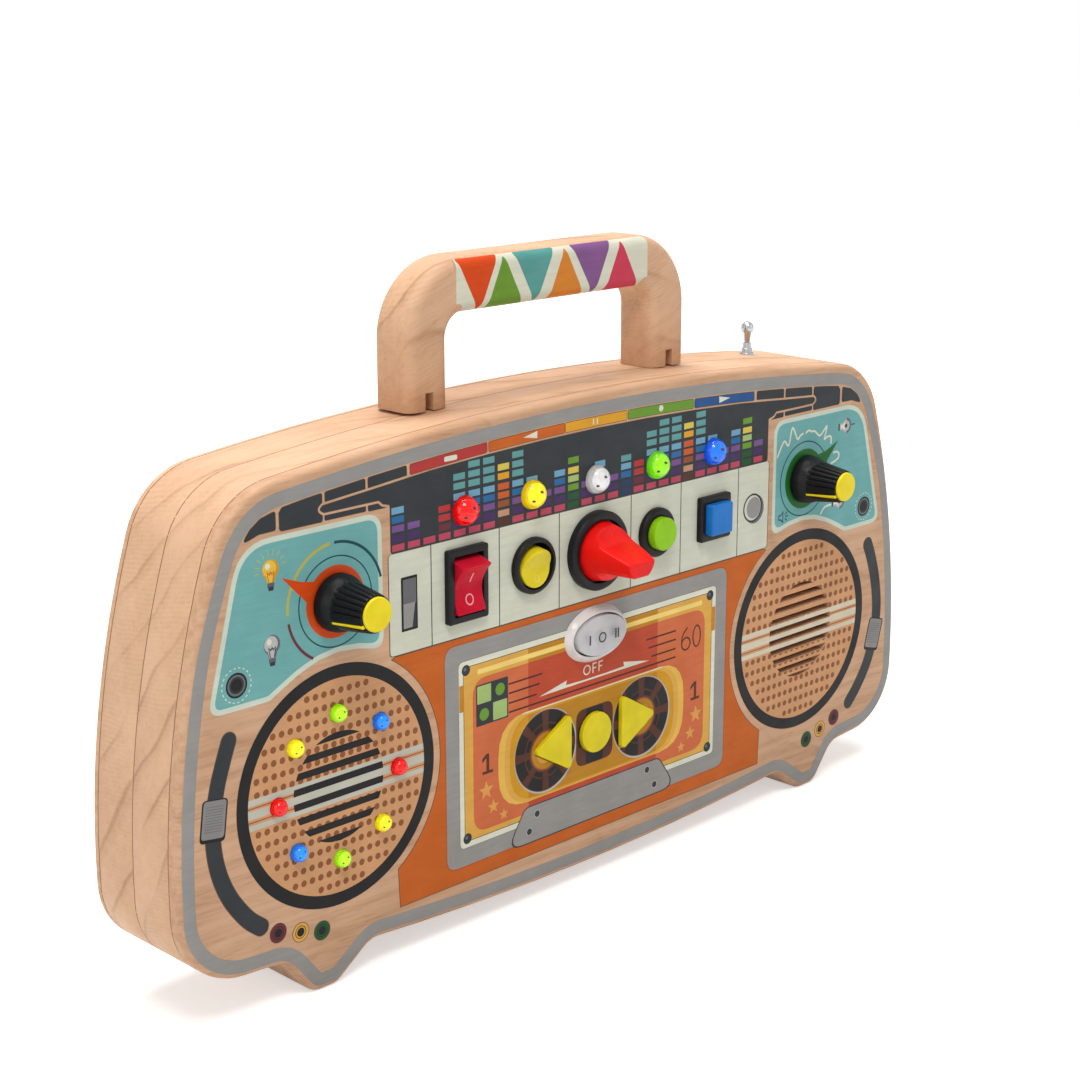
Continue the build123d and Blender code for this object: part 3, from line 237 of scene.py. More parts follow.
def ink(name, rgb):
    """Screen-printed ink on wood: thin, a little uneven, with the grain felt through it."""
    g = Graph("ink_" + name)
    here = g.place()
    cloud = g.noise(here, 130, 4)
    grain = g.noise(g.mapped(here, (0, 9, 0), (0.10, 1, 1)), 900)
    speck = g.range(g.noise(here, 2600, 1), 0.68, 0.80)
    base = linear(rgb)
    colour = g.mix(g.range(cloud, 0.3, 0.7), scaled(base, 1.06, 0.001), scaled(base, 0.95))
    colour = g.mix(g.range(grain, 0.42, 0.66, 0.0, 0.5), colour, scaled(base, 0.90))
    colour = g.mix(g.times(speck, 0.14), colour, scaled(base, 1.3, 0.02))
    normal = g.bump(g.plus(grain, g.times(cloud, 0.4)), 0.12, 0.04 * MM)
    return g.surface(colour, g.range(cloud, 0.3, 0.7, 0.40, 0.56), normal, {"Specular IOR Level": 0.14})


def plastic(name, rgb, gloss=0.28, coat=0.0, inner=0.0, texture=0.18, scatter=0.0, shine=0.16):
    """Moulded plastic: faint flow clouds, fine mould texture, handling scuffs in the gloss."""
    g = Graph(name)
    here = g.place()
    cloud = g.noise(here, 170)
    scuff = g.range(g.noise(g.mapped(here, (30, 40, 20), (1, 0.12, 1)), 1400, 2), 0.58, 0.75)
    base = linear(rgb)
    colour = g.mix(g.range(cloud, 0.3, 0.7), scaled(base, 1.05, 0.002), scaled(base, 0.90))
    colour = g.mix(g.times(scuff, 0.10), colour, scaled(base, 1.2, 0.05))
    rough = g.plus(g.range(cloud, 0.3, 0.7, gloss - 0.04, gloss + 0.05), g.times(scuff, 0.12))
    normal = g.bump(g.plus(g.noise(here, 5200, 2), g.times(cloud, 0.6)), texture, 0.03 * MM)
    more = {"Specular IOR Level": shine, "Coat Weight": coat, "Coat Roughness": 0.06}
    if inner:
        more |= {"Emission Color": base, "Emission Strength": inner}
    if scatter:
        more |= {"Subsurface Weight": scatter, "Subsurface Scale": 1.2 * MM}
        more["Subsurface Radius"] = (1, 0.6, 0.5)
    return g.surface(colour, rough, normal, more)


def metal(name, rgb, gloss, brushed=0.15):
    """Plated or machined metal with fine lines and small stains."""
    g = Graph(name)
    here = g.place()
    lines = g.noise(g.mapped(here, (0, 0, 0), (1, 1, 18)), 900)
    stain = g.noise(here, 240, 4)
    base = linear(rgb)
    colour = g.mix(g.range(stain, 0.35, 0.7), base, scaled(base, 0.78))
    rough = g.plus(g.range(stain, 0.3, 0.7, gloss * 0.7, gloss * 1.3), g.times(lines, brushed * 0.4))
    return g.surface(colour, rough, g.bump(lines, brushed, 0.03 * MM), {"Metallic": 1.0})


def fibre(name, rgb, scale=900):
    """Pressed paper or circuit board: a fibrous matt surface."""
    g = Graph(name)
    strand = g.noise(g.mapped(g.place(), (20, 60, 35), (1, 0.25, 1)), scale, 5, 0.65)
    base = linear(rgb)
    colour = g.mix(g.range(strand, 0.35, 0.65), scaled(base, 0.7), scaled(base, 1.25, 0.01))
    return g.surface(colour, g.range(strand, 0.3, 0.7, 0.6, 0.9), g.bump(strand, 0.4, 0.08 * MM), {})


def lens(name, rgb):
    """Clear coloured resin with faint flow lines, glossy."""
    g = Graph("lens_" + name)
    flow = g.noise(g.mapped(g.place(), (20, 30, 10), (1, 1, 0.25)), 700, 3, 0.6, 0.6)
    base = linear(rgb)
    colour = g.mix(g.range(flow, 0.42, 0.68), base, scaled(base, 0.7 if name == "white" else 0.85))
    clear = {"Transmission Weight": 0.94, "IOR": 1.42}
    return g.surface(colour, g.range(flow, 0.3, 0.7, 0.03, 0.07), g.bump(flow, 0.10, 0.06 * MM), clear)


INKS = dict(
    # greys, blacks and the wood's own browns
    grey=(150, 148, 145), black=(29, 28, 28), charcoal=(50, 54, 57), slate=(104, 105, 109),
    silver=(182, 184, 184), thumb=(136, 134, 132), outline=(88, 70, 58), seam=(138, 98, 68),
    speaker=(207, 154, 110), dot=(140, 86, 52), brown=(84, 48, 34), umber=(70, 36, 30), rust=(146, 80, 50),
    # pale tones
    cream=(222, 223, 204), keys=(210, 212, 194), border=(204, 215, 199), band_left=(194, 193, 178),
    band_right=(216, 206, 182), peach=(196, 146, 112), pale_line=(244, 212, 122), pale_yellow=(230, 184, 84),
    # yellows, oranges and reds
    yellow=(220, 168, 76), amber=(208, 150, 28), tab=(190, 132, 42), dull_yellow=(186, 130, 30),
    level_yellow=(218, 196, 84), bar_yellow=(221, 160, 42), bulb=(232, 190, 66), star=(222, 160, 80),
    orange=(196, 97, 30), deep_orange=(178, 82, 30), bright_orange=(204, 94, 44), bar_orange=(199, 99, 32),
    dial_orange=(212, 74, 20), inner_orange=(206, 108, 66), band_red=(186, 74, 46), red=(180, 58, 58),
    maroon=(108, 46, 58), pink=(186, 74, 96), plum=(72, 46, 98), purple=(120, 82, 142),
    # greens and blues
    green=(106, 152, 50), dark_green=(34, 84, 46), disc_green=(34, 100, 36), pale_green=(164, 190, 116),
    olive=(184, 178, 92), teal=(111, 171, 170), deep_teal=(28, 74, 80), level_teal=(98, 156, 156),
    blue=(42, 84, 140), navy=(36, 58, 92), sky=(114, 166, 196), mid_blue=(46, 106, 160),
    # the handle's wrap and the marks on the switches
    wrap=(216, 216, 196), wrap_red=(211, 72, 20), wrap_green=(104, 146, 46), wrap_teal=(88, 154, 148),
    wrap_orange=(210, 128, 44), wrap_purple=(130, 86, 138), wrap_crimson=(200, 60, 84),
    mark=(70, 72, 74), pale_mark=(240, 170, 178), ring_mark=(236, 222, 120),
)
inks = {}


def ink_of(name):
    if name not in inks:
        inks[name] = ink(name, INKS[name])
    return inks[name]


# ---- flat shapes, in the artwork's millimetres or in real ones
def polar(x, z, r, degrees):
    return x + r * math.cos(math.radians(degrees)), z + r * math.sin(math.radians(degrees))


def arc(x, z, r, start, end, n):
    return [polar(x, z, r, start + (end - start) * i / n) for i in range(n + 1)]


def disc(x, z, r, n=40):
    return arc(x, z, r, 0, 360 * (n - 1) / n, n - 1)


def ellipse(x, z, across, up, n):
    return [(x + across * px, z + up * pz) for px, pz in disc(0, 0, 1, n)]


def band(x, z, low, high, start, end, n=40):
    return arc(x, z, high, start, end, n) + arc(x, z, low, end, start, n)


def star(x, z, r):
    return [polar(x, z, r * (0.42 if i % 2 else 1), 90 + 36 * i) for i in range(10)]


def chord_slice(x, r, low, high):
    """The part of a circle about (x, 0) between two heights."""
    low, high = max(low, -r * 0.9999), min(high, r * 0.9999)
    heights = [low + (high - low) * i / 6 for i in range(7)]
    half = [(math.sqrt(r * r - z * z), z) for z in heights]
    return [(x + w, z) for w, z in half] + [(x - w, z) for w, z in reversed(half)]


def sides(points):
    """Each point of a closed loop with the next one."""
    return zip(points, points[1:] + points[:1])


def area_of(points):
    """Twice the area, positive if the points run anticlockwise."""
    return sum(a[0] * b[1] - b[0] * a[1] for a, b in sides(points))


def left_of(way):
    """The unit vector to the left of a direction."""
    return Vector((-way.y, way.x)).normalized()


def corners_of(points):
    """Each point of a closed loop between the one before it and the one after it, as vectors."""
    loop = [Vector(p) for p in points]
    return zip(loop[-1:] + loop[:-1], loop, loop[1:] + loop[:1])


def rounded(points, r, n=5):
    """The polygon with its corners rounded."""
    made = []
    for last, p, ahead in corners_of(points):
        a, b = last - p, ahead - p
        reach = min(r / max(math.tan(a.angle(b) / 2), 1e-3), 0.49 * a.length, 0.49 * b.length)
        start, end = p + a.normalized() * reach, p + b.normalized() * reach
        for t in [k / n for k in range(n + 1)]:
            made.append(tuple(start * (1 - t) ** 2 + p * 2 * t * (1 - t) + end * t * t))
    return made


def inset(points, amount):
    """The polygon moved inward by amount; a negative amount grows it."""
    side = 1 if area_of(points) > 0 else -1
    made = []
    for last, p, ahead in corners_of(points):
        if min((p - last).length, (ahead - p).length) > 1e-6:
            across = left_of(p - last) * side
            middle = across + left_of(ahead - p) * side
            p = p + middle * (amount / max(middle.dot(across), 0.35))
        made.append(tuple(p))
    return made


def cornered(corners, inward=0.0):
    """A polygon from (x, z, radius) corners listed clockwise, moved inward and then rounded."""
    points = inset([(x, z) for x, z, _ in corners], inward)
    made = []
    for (_, _, r), (last, here, ahead) in zip(corners, corners_of(points)):
        convex = (here - last).cross(ahead - here) < 0
        r = max(r - inward if convex else r + inward, 0.3)
        made += rounded([last, here, ahead], r, 7)[8:16]  # the eight points at the middle corner
    return made


def smooth(points):
    """A curve through the points."""
    made = []
    for i in range(len(points) - 1):
        a, b, c, d = (Vector(points[min(max(k, 0), len(points) - 1)]) for k in range(i - 1, i + 3))
        for t in (0.0, 0.2, 0.4, 0.6, 0.8):
            bend = (2 * a - 5 * b + 4 * c - d) * t**2 + (3 * b - a - 3 * c + d) * t**3
            made.append(tuple(0.5 * (2 * b + (c - a) * t + bend)))
    return made + [tuple(points[-1])]


def box(x0, z0, x1, z1, r=0.0):
    corners = [(x0, z0), (x1, z0), (x1, z1), (x0, z1)]
    return rounded(corners, r) if r else corners


def flip(points):
    return [(-x, z) for x, z in reversed(points)]


def moved(points, x, z, turn):
    c, s = math.cos(math.radians(turn)), math.sin(math.radians(turn))
    return [(x + px * c - pz * s, z + px * s + pz * c) for px, pz in points]


def stroke(points, width):
    """A line of even width along the points."""
    spots = [Vector(p) for p in points]
    across = [left_of(b - a) for a, b in zip(spots, spots[1:])]
    left, right = [], []
    for p, before, after in zip(spots, across[:1] + across, across + across[-1:]):
        normal = (before + after).normalized()
        reach = width / 2 / max(normal.dot(before), 0.5)
        left.append(tuple(p + normal * reach))
        right.append(tuple(p - normal * reach))
    return left + right[::-1]


# ---- layers of ink: pairs of a tone and a shape
def inked(tone, *shapes):
    return [(tone, shape) for shape in shapes]


def edged(tone, shapes, width, edge="outline"):
    """Each shape on a larger one, which shows as its edge."""
    return inked(edge, *[inset(shape, -width) for shape in shapes]) + inked(tone, *shapes)


def discs(x, z, *pairs, n=40):
    return [(tone, disc(x, z, r, n)) for tone, r in pairs]


def placed(layers, x, z, turn=0.0):
    return [(tone, moved(points, x, z, turn)) for tone, points in layers]


# ---- pieces
@contextmanager
def reshaped(mesh, source=None):
    """The source, or the mesh itself, as a bmesh that goes into the mesh at the end."""
    b = bmesh.new()
    b.from_mesh(source or mesh)
    yield b
    b.to_mesh(mesh)
    b.free()


def link(name, mesh, body):
    made = bpy.data.objects.new(name, mesh)
    scene.collection.objects.link(made)
    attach(made, body)
    return made


def crisp(mesh):
    """Smooth shading with sharp edges where faces meet at more than 32 degrees."""
    with reshaped(mesh) as b:
        for face in b.faces:
            face.smooth = True
        for edge in b.edges:
            edge.smooth = len(edge.link_faces) == 2 and edge.calc_face_angle(0.0) < math.radians(32)


def solid(name, points, faces, material, body):
    """A piece with its normals outward."""
    mesh = bpy.data.meshes.new(name)
    mesh.from_pydata(points, [], faces)
    with reshaped(mesh) as b:
        bmesh.ops.recalc_face_normals(b, faces=b.faces)
    crisp(mesh)
    mesh.materials.append(material)
    return link(name, mesh, body)


def softened(node, width, material, segments=2):
    """A copy of a CAD node with its edges eased by a width in millimetres, which stands for it."""
    mesh = bpy.data.meshes.new(node + "_piece")
    with reshaped(mesh, nodes[node].data) as b:
        bmesh.ops.remove_doubles(b, verts=b.verts, dist=1e-7)
        bmesh.ops.dissolve_degenerate(b, edges=b.edges, dist=1e-7)
        sharp = [e for e in b.edges if len(e.link_faces) == 2 and e.calc_face_angle(0.0) > math.radians(34)]
        size = {"offset": width * MM, "offset_type": "OFFSET", "segments": segments, "profile": 0.5}
        bmesh.ops.bevel(b, geom=sharp, **size, affect="EDGES", clamp_overlap=True)
    crisp(mesh)
    mesh.materials.append(material)
    made = link(node + "_piece", mesh, nodes[node]["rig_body"])
    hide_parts(node)


def painted(node, material):
    """A CAD node kept as it is, with a material of its own."""
    mesh = nodes[node].data
    mesh.materials.clear()
    mesh.materials.append(material)


def swept(name, rings, material, body, closed=True):
    """A tube from rings of points, all of the same length: a loop, or with its two ends capped."""
    size = len(rings[0])
    faces = []
    for i in range(len(rings) if closed else len(rings) - 1):
        j = (i + 1) % len(rings)
        for k in range(size):
            m = (k + 1) % size
            faces.append([i * size + k, j * size + k, j * size + m, i * size + m])
    if not closed:
        faces += [list(range(size)), [len(rings) * size - 1 - k for k in range(size)]]
    return solid(name, [p for ring in rings for p in ring], faces, material, body)


def lathe(name, profile, place, material, body, steps, shape=None):
    """A turned piece from a profile of (radius, along) in millimetres, closed at an end on the axis.

    Along counts towards the back, and shape(angle, radius, along) may change the radius.
    """
    points, faces, rows = [], [], []
    for radius, along in profile:
        count = 1 if radius < 1e-6 else steps
        rows.append(list(range(len(points), len(points) + count)))
        for a in [2 * math.pi * k / steps for k in range(count)]:
            r = shape(a, radius, along) if shape and count > 1 else radius
            points.append(place + Vector((r * math.cos(a), along, r * math.sin(a))) * MM)
    for one, two in zip(rows, rows[1:]):
        for k in range(steps):
            m = (k + 1) % steps
            if len(one) == 1 and len(two) > 1:
                faces.append([one[0], two[m], two[k]])
            elif len(one) > 1 and len(two) == 1:
                faces.append([one[k], one[m], two[0]])
            elif len(one) > 1:
                faces.append([one[k], one[m], two[m], two[k]])
    return solid(name, points, faces, material, body)


def art_point(x, z, lift):
    return Vector((x * ART, FACE_Y - lift, SPEAKER_Z + z * ART))


def on_face(x, z, depth=0.0):
    """A place in real millimetres: right of the middle, above the speakers' centres, behind the face."""
    return Vector((x * MM, FACE_Y + depth * MM, SPEAKER_Z + z * MM))


def within(points, places):
    """Which of the places lie inside the polygon."""
    x, z = places[:, 0], places[:, 1]
    inside = np.zeros(len(places), bool)
    for (x0, z0), (x1, z1) in sides(points):
        if z0 != z1:
            inside ^= ((z0 > z) != (z1 > z)) & (x < (x1 - x0) * (z - z0) / (z1 - z0) + x0)
    return inside


def relief(name, layers, cut=(), body="board", point=art_point, lifts=FACES, folds=()):
    """One closed thin piece: the layers are painted in order, and the cut shapes are left out.

    point(x, z, lift) puts a flat point on its surface, and folds are lines where the surface may bend.
    """
    shapes = [points for _, points in layers] + list(cut)
    corners, edges = [], []
    for points in shapes + list(folds):
        first, size = len(corners), len(points)
        corners += [Vector(p) for p in points]
        edges += [(first + i, first + (i + 1) % size) for i in range(size if size > 2 else 1)]
    flat, _, triangles, _, _, _ = delaunay_2d_cdt(corners, edges, [], 0, 1e-5, False)
    centres = np.array([[sum(flat[i][axis] for i in t) / 3 for axis in (0, 1)] for t in triangles])
    owner = np.full(len(triangles), -1)
    for index, points in enumerate(shapes):
        owner[within(points, centres)] = index
    used = list(dict.fromkeys(tone for tone, _ in layers))
    kept = [(list(t), used.index(layers[o][0])) for t, o in zip(triangles, owner) if 0 <= o < len(layers)]
    seen = {pair for triangle, _ in kept for pair in sides(triangle)}
    count = len(flat)
    faces, slots = [], []
    for triangle, tone in kept:
        rim = [[b, a, a + count, b + count] for a, b in sides(triangle) if (b, a) not in seen]
        faces += [triangle, [i + count for i in reversed(triangle)], *rim]
        slots += [tone] * (2 + len(rim))
    mesh = bpy.data.meshes.new(name)
    mesh.from_pydata([point(p.x, p.y, lift) for lift in lifts for p in flat], [], faces)
    mesh.polygons.foreach_set("material_index", slots)
    for tone in used:
        mesh.materials.append(ink_of(tone))
    with reshaped(mesh) as b:
        bmesh.ops.delete(b, geom=[v for v in b.verts if not v.link_faces], context="VERTS")
    return link(name, mesh, body)


# ---- the wooden body
softened("front_frame", 0.22, wood("wood_frame_a", (0.031, 0, 0.017)))
softened("rear_frame", 0.22, wood("wood_frame_b", (0.012, 0.004, 0.043)))
softened("back_panel", 0.22, wood("wood_back", (0.07, 0, 0.06), (0, 4, 0), 0.3, 0.34))
softened("handle", 0.25, wood("wood_handle", (0.05, 0.02, 0.09), (0, 24, 8), 0.5, 0.16))
softened("front_panel", 0.16, wood("wood_front", figure=0.22, streak=0.34, light=(212, 171, 138)))
dowel_wood = wood("wood_dowel", (0.2, 0.1, 0), (90, 0, 0), light=(206, 164, 128), dark=(150, 106, 72))
painted("handle_dowels", dowel_wood)


def outline_of(node):
    """The outer edge of a flat wooden layer's front, as a closed loop of (x, z) in metres."""
    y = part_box(node)[0].y
    b = bmesh.new()
    b.from_mesh(nodes[node].data)
    bmesh.ops.remove_doubles(b, verts=b.verts, dist=1e-7)
    near = {}
    for e in b.edges:
        flat = sum(abs(f.normal.y) > 0.9 for f in e.link_faces)
        if flat == 1 and all(abs(v.co.y - y) < 1e-5 for v in e.verts):
            for v in e.verts:
                near.setdefault(v, []).append(e.other_vert(v))
    start = max(near, key=lambda v: v.co.x)
    points, last, here = [], None, start
    while here is not start or not points:
        points.append((here.co.x, here.co.z))
        last, here = here, next(v for v in near[here] if v is not last)
    b.free()
    return points if area_of(points) > 0 else points[::-1]


def even_loop(points, step):
    """The loop again with evenly spaced points, each with its outward normal."""
    closed = points + points[:1]
    lengths = [0.0]
    for a, b in sides(points):
        lengths.append(lengths[-1] + math.dist(a, b))
    count = int(lengths[-1] / step)
    made, k = [], 0
    for i in range(count):
        at = lengths[-1] * i / count
        while lengths[k + 1] < at:
            k += 1
        t = (at - lengths[k]) / (lengths[k + 1] - lengths[k])
        made.append(Vector(closed[k]).lerp(Vector(closed[k + 1]), t))
    ways = [(made[(i + 2) % count] - made[i - 2]).normalized() for i in range(count)]
    return [(p, Vector((along.y, -along.x))) for p, along in zip(made, ways)]


def off_rim(p, normal, inward, y):
    q = p - normal * inward
    return Vector((q.x, y, q.y))


rim = even_loop(outline_of("front_frame"), 1.0 * MM)

# dark glue lines between the layers
SEAM = ((-0.015, -0.16), (-0.015, 0.16), (0.6, 0.16), (0.6, -0.16))  # inward and across
for number, node in enumerate(("front_frame", "rear_frame", "back_panel")):
    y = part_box(node)[0].y
    rings = [[off_rim(*spot, inward * MM, y + across * MM) for inward, across in SEAM] for spot in rim]
    swept(f"glue_line_{number + 1}", rings, ink_of("seam"), "board")


def stripe_margin(high):
    """How far the grey stripe keeps from the rim: more at the top of the board and at its feet."""
    return (1.25 + 1.75 * fade(high, 0.045, 0.03) + 0.35 * fade(-high, 0.03, 0.015)) * MM


# the grey stripe round the face follows the outline and the start of its rounded edge
ROUND = 1.8 * MM
STRIPE = 3.7 * MM
rings = []
for p, normal in rim:
    ring = []
    for k in range(9):
        inward = stripe_margin(p.y - SPEAKER_Z) + STRIPE * k / 8
        drop = ROUND - math.sqrt(ROUND**2 - max(0.0, ROUND - inward) ** 2)
        ring.append((inward, FACE_Y + drop))
    ring = [(inward, y - FILM) for inward, y in ring] + [(inward, y + FILM) for inward, y in reversed(ring)]
    rings.append([off_rim(p, normal, inward, y) for inward, y in ring])
swept("print_stripe", rings, ink_of("grey"), "board")

# ---- speakers, sliders and sockets
GRILLE = 28.0
DOT_ROW, DOT_STEP = 3.36, 2.65  # between the rows of printed dots, and along a row
GROOVES = {  # centre line, and the thumb's place and turn
    "left": (
        [(-123.9, 20.4), (-125.6, 16), (-127.65, 10), (-129.05, 3.5), (-129.55, -2), (-129.1, -8),
         (-127.6, -14), (-124.8, -20), (-120.4, -26), (-116.5, -29.4)],
        (-129.0, 2.1, -8),
    ),
    "right": (
        [(124.2, 20.6), (126.3, 16), (128.35, 10), (129.7, 4), (130.3, -2), (129.75, -8), (128.35, -14),
         (125.7, -20), (121.25, -26), (117.3, -30)],
        (129.3, -9.9, -15),
    ),
}
SOCKETS = {
    "left": (("maroon", -111.5, -32.6), ("yellow", -104.6, -34.7), ("dark_green", -97.9, -36.5)),
    "right": (("dark_green", 96.0, -37.1), ("yellow", 102.8, -35.4), ("maroon", 109.8, -33.3)),
}

for side, label in ((-1, "left"), (1, "right")):
    centre = side * SPEAKER_X
    layers = [("black", disc(centre, 0, 31.36, 110)), ("speaker", disc(centre, 0, GRILLE, 100))]
    for z in [24.8 - DOT_ROW * row for row in range(16)]:
        for x in [(column - 10.5) * DOT_STEP for column in range(22)]:
            if math.hypot(x, z) < 27.2 and not -4.9 < z < 4.2:
                layers.append(("dot", disc(centre + x, z, 0.88, 14)))
    bands = ((2.3, 3.9), (-1.1, 1.1), (-4.0, -2.6))
    layers += inked(f"band_{label}", *[chord_slice(centre, GRILLE, *ends) for ends in bands])
    layers += inked("rust", *[chord_slice(centre, GRILLE, z - 0.14, z + 0.14) for z in (1.7, -1.85)])
    if side < 0:
        # printed slots, and openings for the lamps
        heights = (-13.4, -9.6, -5.8, -1.9, 1.9, 5.8, 9.6, 13.4)
        layers += inked("black", *[chord_slice(centre, 14.3, z - 0.925, z + 0.925) for z in heights])
        cut = [disc(*polar(centre, 0, RING, 45 * turn), 2.42, 24) for turn in range(8)]
    else:
        heights = [(k - 4.5) * 3.239 for k in range(10)]
        cut = [chord_slice(centre, 14.93, z - 0.887, z + 0.887) for z in heights]
    relief(f"print_speaker_{label}", layers, cut)

    centre_line, thumb_place = GROOVES[label]
    groove = [stroke(smooth(centre_line), 4.1)] + [disc(*centre_line[k], 2.05, 20) for k in (0, -1)]
    thumb = [("black", box(-3.75, -5.5, 3.65, 5.1, 1.2)), ("thumb", box(-3.35, -4.6, 3.25, 4.8, 0.9))]
    thumb += inked("slate", *[box(-2.6, z, 2.5, z + 0.16) for z in [-2.9 + 0.68 * k for k in range(10)]])
    relief(f"print_slider_{label}", edged("charcoal", groove, 0.25) + placed(thumb, *thumb_place))

for label, trio in SOCKETS.items():
    layers = []
    for tone, x, z in trio:
        layers += discs(x, z, ("outline", 2.6), (tone, 2.45), ("black", 1.7), (tone, 1.5), ("black", 1.15))
    relief(f"print_sockets_{label}", layers)

# ---- teal panels round the dials
PANEL = (
    (75.8, 67.0, 5.0), (118.9, 67.0, 12.0), (129.6, 27.2, 3.4), (111.6, 27.2, 4.0), (107.4, 29.4, 6.0),
    (102.4, 31.8, 8.0), (96.5, 33.8, 12.0), (90.5, 34.6, 12.0), (84.0, 34.0, 10.0), (75.8, 32.0, 4.4),
)
SIGNAL = (  # a wavy line round the right dial
    [(77.5, 55.8), (79.2, 58.6), (80.8, 60.3), (82.8, 58.8), (84.4, 63.8), (86.9, 60.1), (88.2, 60.9),
     (89.7, 61.4)],
    [(90.8, 61.2), (92.2, 61.9), (93.5, 61.4), (95.2, 61.2), (97.6, 59.5), (99.4, 60.6), (101.0, 61.9),
     (100.6, 59.9), (100.0, 58.1), (101.6, 58.6), (103.2, 58.3), (103.3, 56.1)],
    [(104.6, 53.1), (106.4, 53.2), (107.5, 52.3), (107.2, 51.1), (105.6, 50.4), (103.6, 49.9)],
    [(99.3, 34.7), (100.9, 36.4), (102.6, 36.9), (104.6, 36.9)],
)
POINTER = ((16.2, 9.2), (10.4, 7.0), (5.9, 6.2), (2.0, 0.0), (8.6, -0.6), (8.9, 1.6), (12.4, 5.2))


def jack(x, z):
    layers = inked("cream", *[band(x, z, 4.1, 4.35, a, a + 9, 2) for a in range(0, 360, 18)])
    return layers + discs(x, z, ("black", 3.1), ("slate", 2.6), ("charcoal", 2.1), ("black", 1.6))


def bulb(glass, shade, base, filament):
    wire = [(-0.6, -3.1), (-1.0, -0.7), (-0.4, -1.3), (0, -0.7), (0.4, -1.3), (1.0, -0.7), (0.6, -3.1)]
    return [
        (shade, disc(0, 0, 2.45, 32)), (shade, [(-1.7, -1.4), (1.7, -1.4), (1.05, -3.2), (-1.05, -3.2)]),
        (glass, disc(-0.3, 0.2, 2.0, 28)), (glass, [(-1.4, -1.2), (1.0, -1.2), (0.6, -3.2), (-0.9, -3.2)]),
        ("cream", disc(-0.8, 0.8, 0.75, 16)), (filament, stroke(wire, 0.3)),
        (base, box(-1.05, -4.5, 1.0, -3.2, 0.3)), ("charcoal", box(-0.8, -5.2, 0.8, -4.3, 0.35)),
        *inked("charcoal", *[box(-1.05, z, 1.0, z + 0.12) for z in (-3.8, -4.25)]),
    ]


def plug():
    """A small round plug, seen from the side."""
    horn = [(-2.1, -1.0), (-0.7, -1.1), (1.1, -2.35), (1.1, 2.35), (-0.7, 1.1), (-2.1, 1.0)]
    return [
        ("charcoal", box(-2.8, -1.1, -1.9, 1.1, 0.3)), ("silver", horn), ("cream", inset(horn, 0.5)),
        ("slate", band(1.1, 0, 0.01, 2.45, -90, 90, 12)), ("silver", band(1.1, 0, 0.01, 1.7, -90, 90, 12)),
        ("charcoal", disc(1.0, 0, 0.65, 14)), ("charcoal", box(3.7, -0.18, 5.4, 0.18)),
    ]


def left_panel(x, z):
    rays = [[polar(-109.9, 59.3, r, 12 + 22 * k) for r in (3.5, 4.9)] for k in range(9)]
    return [
        *inked("olive", *[stroke(ray, 0.24) for ray in rays]),
        *placed(bulb("bulb", "amber", "slate", "bright_orange"), -110.0, 59.3),
        *placed(bulb("silver", "slate", "slate", "charcoal"), -110.3, 40.9),
        *jack(-121.0, 33.4),
        ("olive", band(x, z, 14.3, 15.15, 182, 95)),
        ("deep_teal", band(x, z, 14.35, 15.1, 90, 13)),
        ("maroon", band(x, z, 14.35, 15.1, 190, 240)),
    ]


def right_panel():
    horn = [(78.9, 36.4), (80.0, 36.3), (81.2, 35.2), (81.2, 39.2), (80.0, 38.1), (78.9, 38.0)]
    waves = [[polar(81.4, 37.2, r, a) for r in (0.8, 2.1)] for a in (-40, 0, 40)]
    return [
        *inked("cream", *[stroke(smooth(points), 0.62) for points in SIGNAL]),
        *placed(plug(), 109.6, 60.6), *placed(plug(), 107.6, 37.2),
        ("navy", horn), ("teal", inset(horn, 0.4)), *inked("navy", *[stroke(wave, 0.34) for wave in waves]),
        *jack(121.2, 33.4),
    ]


for side, label, tone in ((-1, "left", "dial_orange"), (1, "right", "disc_green")):
    x, z = side * DIAL[0], DIAL[1]
    layers = [("border", cornered(PANEL)), ("teal", cornered(PANEL, 1.35))]
    if side < 0:
        layers = [(tone_of_panel, flip(points)) for tone_of_panel, points in layers] + left_panel(x, z)
    else:
        layers += right_panel()
    layers += discs(x, z, ("deep_teal", 11.5), ("teal", 11.12), n=72)
    layers += [(tone, disc(x, z, 9.1, 56)), (tone, [(x + side * dx, z + dz) for dx, dz in POINTER])]
    relief(f"print_dial_{label}", layers, [disc(x, z, 4.2, 32)])


# ---- dark blocks, coloured bars and the level meters
def arch(x):
    return 79.55 - 5.4e-4 * x * x


def arched(x0, x1, height):
    """A bar that follows the arch, rounded at its corners."""
    top = [(x, arch(x)) for x in [x0 + (x1 - x0) * i / 6 for i in range(7)]]
    return rounded([(x, z - height) for x, z in top] + top[::-1], 0.45, 3)


